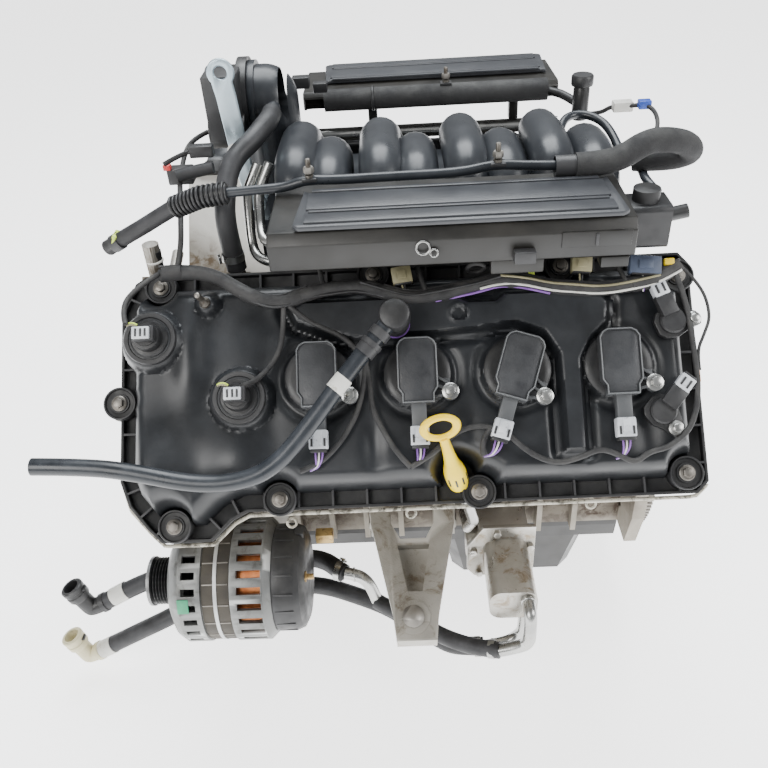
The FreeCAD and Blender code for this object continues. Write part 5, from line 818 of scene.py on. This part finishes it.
pipes = [painted(tube(line, radius, sides=7), steel_bright) for line, radius in (
        ([(-449, -101, 440), (-456, -105, 427), (-464, -110, 412), (-464, -120, 390), (-463, -132, 364),
        (-458, -145, 354), (-446, -156, 351), (-428, -162, 350)], 5.5),
        ([(-436, -101, 440), (-443, -105, 427), (-451, -110, 412), (-451, -121, 398), (-450, -134, 384),
        (-448, -148, 376), (-438, -159, 373), (-424.2, -161.2, 373)], 5.5),
        ([(-392, -230, -76), (-378, -232, -77), (-367, -234, -83), (-358, -237, -98), (-352, -242, -119)], 8.0),
        ([(-162, -304.3, -50), (-162, -318, -50), (-162, -327, -56), (-162, -329, -78), (-162, -330, -98),
        (-172, -328, -110), (-196, -324, -122)], 8.0),
        ([(-162, -288, -84.3), (-162, -288, -118), (-163, -288, -134), (-174, -290, -147), (-192, -293, -152),
        (-214, -296, -152)], 8.0))]
beads = [painted(ring(8.4, 1.4, 28), steel_bright, shift(*at), along(way)) for at, way in (
        ((-162, -308, -50), (0, 1, 0)), ((-162, -288, -90), (0, 0, 1)), ((-380, -232, -77), (1, 0, 0)))]
fitted(joined(pipes + beads), "hard_pipes", replaces=("metal_pipes",))
softened("dipstick_tube", 0.3, steel_bright)


def hose_end(start, corner, lift, material):
    """Quick connector: barbed collar, elbow, flared open socket and its retaining clip."""
    start, corner = Vector(start), Vector(corner)
    way = Vector(lift).normalized()
    elbow = tube([tuple(start), tuple(corner - (corner - start) * 0.1), tuple(corner + way * 6),
            tuple(corner + way * 28)], 11.6, sides=8)
    mouth = turned([(10.2, 26), (13.0, 26), (14.6, 29), (14.8, 36), (13.8, 37), (13.8, 41), (15.0, 42), (15.0, 47),
            (13.6, 48.4), (10.2, 48.4), (10.2, 32)], 40)
    mouth = moved(mouth, shift(*corner), along(way))
    notch = moved(joined([block((4, 9, 3), (14.6, 0, 39), 0.5), block((4, 9, 3), (-14.6, 0, 39), 0.5)]),
        shift(*corner), along(way))
    collar = moved(turned([(11.8, -4), (13.4, -3), (13.4, 3), (11.8, 4)], 36), shift(*start), along(corner - start))
    return [painted(p, m) for p, m in ((elbow, material), (mouth, material), (notch, part_black), (collar, material))]


ends = hose_end((-722.6, -236.1, -110.3), (-740.4, -240, -117.3), (-0.35, 0, 0.94), part_black)
ends += hose_end((-750.4, -245, -204.2), (-767.5, -246.4, -213.2), (-0.3, 0, 0.95), cream)
fitted(joined(ends), "hose_connectors", replaces=("quick_connectors",))

# ---------------------------------------------------------------- wiring loom
def plug_on(size, colour, tail, place, angle=0.0):
    """A connector that lies on the left cover."""
    return moved(clear_plug(size, colour, tail), BANK[LEFT], shift(*place), turn(angle))


LOOM_H, LOOM_FRONT_H = 407, 402
LOOM = [(-548, 114), (-520, 116), (-489, 109), (-464, 92), (-441, 81), (-418, 78), (-397, 86), (-372, 91),
    (-341, 92), (-317, 84), (-292, 77), (-266, 78), (-243, 83), (-221, 88), (-200, 91), (-176, 89),
    (-151, 83), (-127, 78), (-102, 76), (-72, 79), (-42, 84), (-20, 98)]
LEADS = [[(-414, 74, 407.5), (-399, 60), (-382, 51), (-359, 40), (-339, 16), (-335, -9), (-334, -35), (-322, -60),
        (-310, -80), (-298, -93, 406.5)],
    [(-338, 14), (-341, -9), (-348, -36), (-362, -60, 404.5), (-378, -78, 404.5), (-392, -88), (-407, -93,
        406.5)],
    [(-420, 76, 407.5), (-421, 46), (-427, 24), (-438, 9, 407.5), (-450, -4, 417.5), (-458, -10, 433.5)],
    [(-298, -93, 406.5), (-276, -82), (-253, -60), (-228, -54), (-203, -62), (-188, -78), (-171, -90), (-152,
        -95),
        (-132, -90), (-112, -82), (-95, -89), (-80, -98), (-65, -87), (-46, -84), (-22, -66), (-12, -30), (-13,
        10),
        (-16, 60, 406.5), (-26, 92, 408.5)],
    [(-226, -85, 406.5), (-230, -70), (-216, -57)],
    [(-573, 57, 433.5), (-580, 76, 427.5), (-568, 100, 413.5), (-548, 114, 408.5)]]
widths = [1.0 + 0.10 * math.sin(i * 2.3) for i in range(len(LOOM))]
trunk = tube([over(x, t, LOOM_H if x > -530 else LOOM_FRONT_H) for x, t in LOOM], 7.0, widths, sides=7)
parts = [painted(trunk, tape_black)]
for i in (1, 4, 6, 9, 12, 15, 17, 20):
    a, b = Vector(over(*LOOM[i - 1], LOOM_H)), Vector(over(*LOOM[i], LOOM_H))
    mid = (a + b) / 2
    reach = (b - a) * (0.30 + 0.06 * (i % 3))
    wrap = tube([tuple(mid - reach), tuple(mid), tuple(mid + reach)], 8.0, (0.92, 1.04, 0.9), sides=7)
    parts.append(painted(wrap, tape_black))
for first, last, dt, dh, material in ((0, 6, 7, 1, part_black), (3, 9, -6, 4, part_black), (9, 21, 7, 2, part_black),
        (11, 16, -7, 1, violet), (13, 21, -5, 5, bone_white),
        (8, 14, 1, 7.6, part_black), (14, 20, 2, 7.4, olive)):
    strand = [over(x, t + dt + 1.4 * math.sin(x * 0.09), LOOM_H + dh) for x, t in LOOM[first:last + 1]]
    parts += tubes((strand, 1.25, 3, material))
parts += tubes(*[([over(*p) for p in line], 2.8, 5, tape_black) for line in LEADS])
parts += [plug_on((20, 17, 13), olive, (olive, part_black), (-299, 100, 402), 8),
    plug_on((20, 17, 13), olive, (olive, part_black), (-118, 103, 402), -6),
    plug_on((17, 14, 11), green, (lime, lime, lime), (-171, 112, 401), 12),
    plug_on((31, 18, 12), slate_blue, (bone_white, violet), (-56, 98, 405), -6)]
for size, place, material in (((15, 8, 10), (-158, 117, 405), bone_white), ((10, 7, 6), (-31, 101, 409), yellow),
        ((5, 12, 4), (-12, -15, 405), orange)):
    parts.append(painted(block(size, edge=0.8), material, BANK[LEFT], shift(*place)))
parts.append(painted(ring(8.5, 2.1, 28), tape_black, BANK[LEFT], shift(-224, 104, 410), turn(76, "X")))
for x in CYLINDER_X[LEFT]:
    parts += blocks(((14, 30, 16), (x, -165, 361), 1.6, olive), ((9, 12, 4), (x, -178, 369), 0.8, part_black))
    parts += tubes(([(x, -178, 362), (x + 3, -196, 364), (x + 7, -216, 358), (x + 12, -231, 348)], 2.6, 5,
            tape_black))
parts += blocks(((20, 10, 12), (-185, -275.5, 405.5), 1.0, part_black),
    ((28, 17, 18), (-541, -75, 422), 1.6, part_black), ((8, 8, 6), (-553, -82, 434), 0.8, red))
parts += tubes(
    ([(-517, -14, 448), (-530, -26, 446), (-540, -46, 438), (-541, -68, 426)], 2.8, 5, tape_black),
    ([(-541, -84, 422), (-536, -110, 418), (-530, -150, 404), (-526, -188, 384), (-530, -206, 370)], 3.0, 5,
        tape_black),
    ([over(-20, 98, 407), over(-1, 78, 407), over(7, 46, 405), over(-2, 26, 405), over(-10, 10, 404),
        over(-9, -9, 404)], 1.6, 4, tape_black))
fitted(joined(parts), "taped_loom", replaces=("wiring_harness", "harness_plugs"), angle=42.0)

# ---------------------------------------------------------------- dipstick
foot, rise = Vector((-252, -332, 187)), Vector((-26, -21, 123)).normalized()
facing = Vector((0.1, -1, 0.25))
facing = (facing - rise * facing.dot(rise)).normalized()
neck = moved(turned([(0, -14), (10.2, -14), (11.4, -6), (11.6, 8), (10.2, 17), (7.8, 24), (6.2, 36), (5.2, 52),
        (4.8, 64), (0, 64)], 40), shift(*foot), along(rise))
eye = moved(ring(15.0, 4.0, 48), shift(*(foot + rise * 79)), along(facing), Matrix.Diagonal((1.1, 0.95, 0.72, 1)))
blade = tube([(-240, -322, 128), (-246, -327, 157), (-252, -332, 187)], 1.8, sides=4)
slots = [painted(block((2.0, 1.4, 11), (0, -11.2, 0), 0.3), part_black, shift(*(foot + rise * 2)), along(rise),
        turn(a))
    for a in (-75, -38, 0, 38, 75, 180)]
fitted(joined([painted(neck, yellow), painted(eye, yellow), painted(blade, steel_bright)] + slots), "dipstick_handle",
    "dipstick", ("dipstick",))

# ---------------------------------------------------------------- alternator
ALTERNATOR_SHAFT = (0, -285, -13)


def about_shaft(profile, material):
    """A (radius, x) line spun about the alternator's shaft."""
    return painted(turned(profile, 72), material, shift(*ALTERNATOR_SHAFT), turn(90, "Y"))


parts = [about_shaft([(69.2, -545), (70.4, -545), (70.4, -513), (69.2, -513), (69.2, -545)], stator_brown),
    about_shaft([(70.2, -531), (71.8, -531), (71.8, -527), (70.2, -527), (70.2, -531)], housing_grey),
    about_shaft([(56, -505), (62, -505), (62, -475), (56, -475), (56, -505)], copper),
    about_shaft([(55, -466.6), (63.4, -466), (64, -460), (63.2, -441), (60.5, -434), (51, -429.2), (0, -429.2)],
        part_black)]
for i in range(18):
    rib = painted(block((22, 2.2, 1.6), (-452, 0, 63.6), 0.4), part_black)
    parts.append(moved(rib, shift(*ALTERNATOR_SHAFT), turn(i * 20.0, "X")))
    bar = painted(block((30, 1.6, 1.2), (-529, 0, 70.4), 0.3), steel_dull)
    parts.append(moved(bar, shift(*ALTERNATOR_SHAFT), turn(i * 20.0 + 6, "X")))
parts.append(moved(painted(block((13, 1.2, 17), (-566, -73.3, 0), 0.3), green), shift(*ALTERNATOR_SHAFT),
        turn(-25, "X")))
stud = turned([(0, -2), (6.4, -2), (6.4, 4), (3.4, 5), (3.4, 12), (2.6, 13), (0, 13)], 24)
parts.append(painted(stud, brass, shift(-432, -308, 12), turn(90, "Y")))
parts.append(painted(block((10, 12, 22), (-436, -268, 38), 1.2), part_black))
fitted(joined(parts), "alternator_windings", angle=40.0)
softened("alternator_housing", 0.8, housing_grey)

# ---------------------------------------------------------------- castings and brackets
for name, width, material, slot in (("alternator_bracket", 1.6, cast_grey, "cast_aluminium"),
        ("engine_mounts", 1.2, mount_grey, "cast_aluminium"),
        ("oil_cooler", 1.6, cooler_steel, "bright_steel"),
        ("lifting_bracket", 1.6, zinc_blue, "zinc_plate"),
        ("throttle_body", 2.4, part_black, "black_plastic"),
        ("intake_actuator", 1.6, part_black, "black_plastic")):
    softened(name, width, material)

# ---------------------------------------------------------------- sealant, stubs and small connectors
bead = [over(x + (1.5 if x > 0 else -1.5 if x < -590 else 0), t - 3.4 if t < -100 else t, 344.0) for x, t in COVER_RIM
    if t < 100]
parts = [painted(tube(bead, 2.1, order=2, sides=4), sealant)]
parts += [painted(ring(5.0, 1.5, 24), sealant, shift(*at), along((0.1, -1, 0.4)))
    for at in ((-430, -325, 121), (-300, -325, 129), (-108, -325, 133))]
parts += blocks(((22, 14, 15), (-412, -231, -2), 1.4, brass), ((26, 12, 13), (-512, -80, 450), 1.4, part_black),
    ((22, 16, 14), (-418, 116, 462), 1.4, part_black), ((18, 14, 12), (-394, 118, 454), 1.4, part_black),
    ((24, 15, 12), (-20, 60, 428), 1.4, bone_white), ((15, 12, 10), (2, 44, 434), 1.2, blue))
parts += tubes(
    ([(-521, -288, 42), (-510, -264, 33), (-495, -238, 23)], 5.0, 7, bone_white),
    ([(-553, -92, 441), (-540, -88, 447), (-526, -82, 450)], 2.6, 5, part_black),
    ([(-540, -96, 428), (-522, -92, 432), (-500, -90, 434)], 7.0, 7, rubber_black),
    ([(-571, -143, 332), (-571, -143, 346), (-570, -143, 364)], 8.0, 7, rubber_black),
    ([(-108, 137, 430), (-90, 122, 430), (-78, 104, 428), (-68, 88, 424)], 5.4, 6, part_black),
    ([(-66, 86, 412), (-44, 76, 414), (-32, 66, 426), (-20, 60, 428), (-8, 52, 430), (2, 44, 434), (12, 30, 430),
        (10, 2, 420), (-10, -30, 408), (-30, -56, 404)], 2.6, 5, tape_black),
    ([(-106, 0, 418), (-102, 20, 427), (-82, 36, 430), (-60, 26, 428), (-46, 4, 420), (-42, -24, 408)], 5.0, 7,
        hose_gloss),
    ([(-50, -40, 402), (-38, -62, 409), (-35, -100, 412), (-40, -136, 413), (-30, -152, 406)], 4.6, 7, hose_gloss))
disc = moved(turned([(0, 0), (7.5, 0), (7.5, 2.4), (0, 2.4)], 32), shift(-475, -84, 449), along((0, -0.8, 0.6)))
capped_neck = moved(turned([(0, -42), (9, -42), (10, -38), (10, -4), (8, 0), (13, 0), (13.6, 2), (13.6, 11), (12, 13),
        (0, 13)], 36), shift(-66, 86, 448))
pipe_band = moved(ring(14.4, 1.8, 36), shift(-328, 137.7, 430), turn(90, "Y"))
parts += [painted(disc, bone_white), painted(ring(8.4, 1.4, 32), bone_white, shift(-571, -143, 352)),
    painted(pipe_band, part_black), painted(capped_neck, part_black)]
fitted(joined(parts), "sealant_and_stubs", angle=40.0)

# ---------------------------------------------------------------- camera, light and floor
CAMERA_AT, CAMERA_WAY, CAMERA_ROLL = (-0.2949, -0.9395, 0.7576), (-0.0327, 0.8036, -0.5941), 3.85
camera_data = bpy.data.cameras.new("camera")
camera_data.sensor_width = 36.0
camera_data.lens = 37.75
camera = bpy.data.objects.new("camera", camera_data)
bpy.context.scene.collection.objects.link(camera)
forward = Vector(CAMERA_WAY).normalized()
level = forward.cross(Vector((0, 0, 1))).normalized()
roll = math.radians(CAMERA_ROLL)
right = level * math.cos(roll) - level.cross(forward) * math.sin(roll)
camera.matrix_world = Matrix((right, right.cross(forward), -forward)).transposed().to_4x4()
camera.location = CAMERA_AT
bpy.context.scene.camera = camera


def lamp(name, place, aim, size, power, colour):
    """An area light that looks at a point."""
    data = bpy.data.lights.new(name, "AREA")
    data.size, data.energy, data.color = size, power, colour
    obj = bpy.data.objects.new(name, data)
    obj.location = place
    obj.rotation_euler = (Vector(aim) - Vector(place)).to_track_quat("-Z", "Y").to_euler()
    bpy.context.scene.collection.objects.link(obj)


lamp("sky_light", (-0.3, 0.6, 2.2), (-0.3, -0.1, 0.2), 1.6, 78, (0.93, 0.97, 1.0))
lamp("front_light", (-1.5, -1.7, 1.3), (-0.3, -0.2, 0.1), 1.2, 34, (1.0, 0.99, 0.97))
lamp("side_light", (1.5, -0.9, 1.3), (-0.2, -0.1, 0.2), 1.0, 26, (1.0, 1.0, 1.0))
world = bpy.data.worlds.new("studio")
world.use_nodes = True
world.node_tree.nodes["Background"].inputs[0].default_value = (0.96, 0.98, 1.0, 1)
world.node_tree.nodes["Background"].inputs[1].default_value = 0.40
bpy.context.scene.world = world
only()
bpy.ops.mesh.primitive_plane_add(size=12.0, location=(0, 0, cad_box[0][2] - 0.001))
floor = bpy.context.object
floor.name = "floor"
floor_white = finish("floor_white", (0.90, 0.90, 0.90), (0.92, 0.92, 0.92), (0.8, 0.9), relief=0)
floor_white.node_tree.nodes["Principled BSDF"].inputs["Emission Color"].default_value = (1, 1, 1, 1)
floor_white.node_tree.nodes["Principled BSDF"].inputs["Emission Strength"].default_value = 2.4
floor.data.materials.append(floor_white)
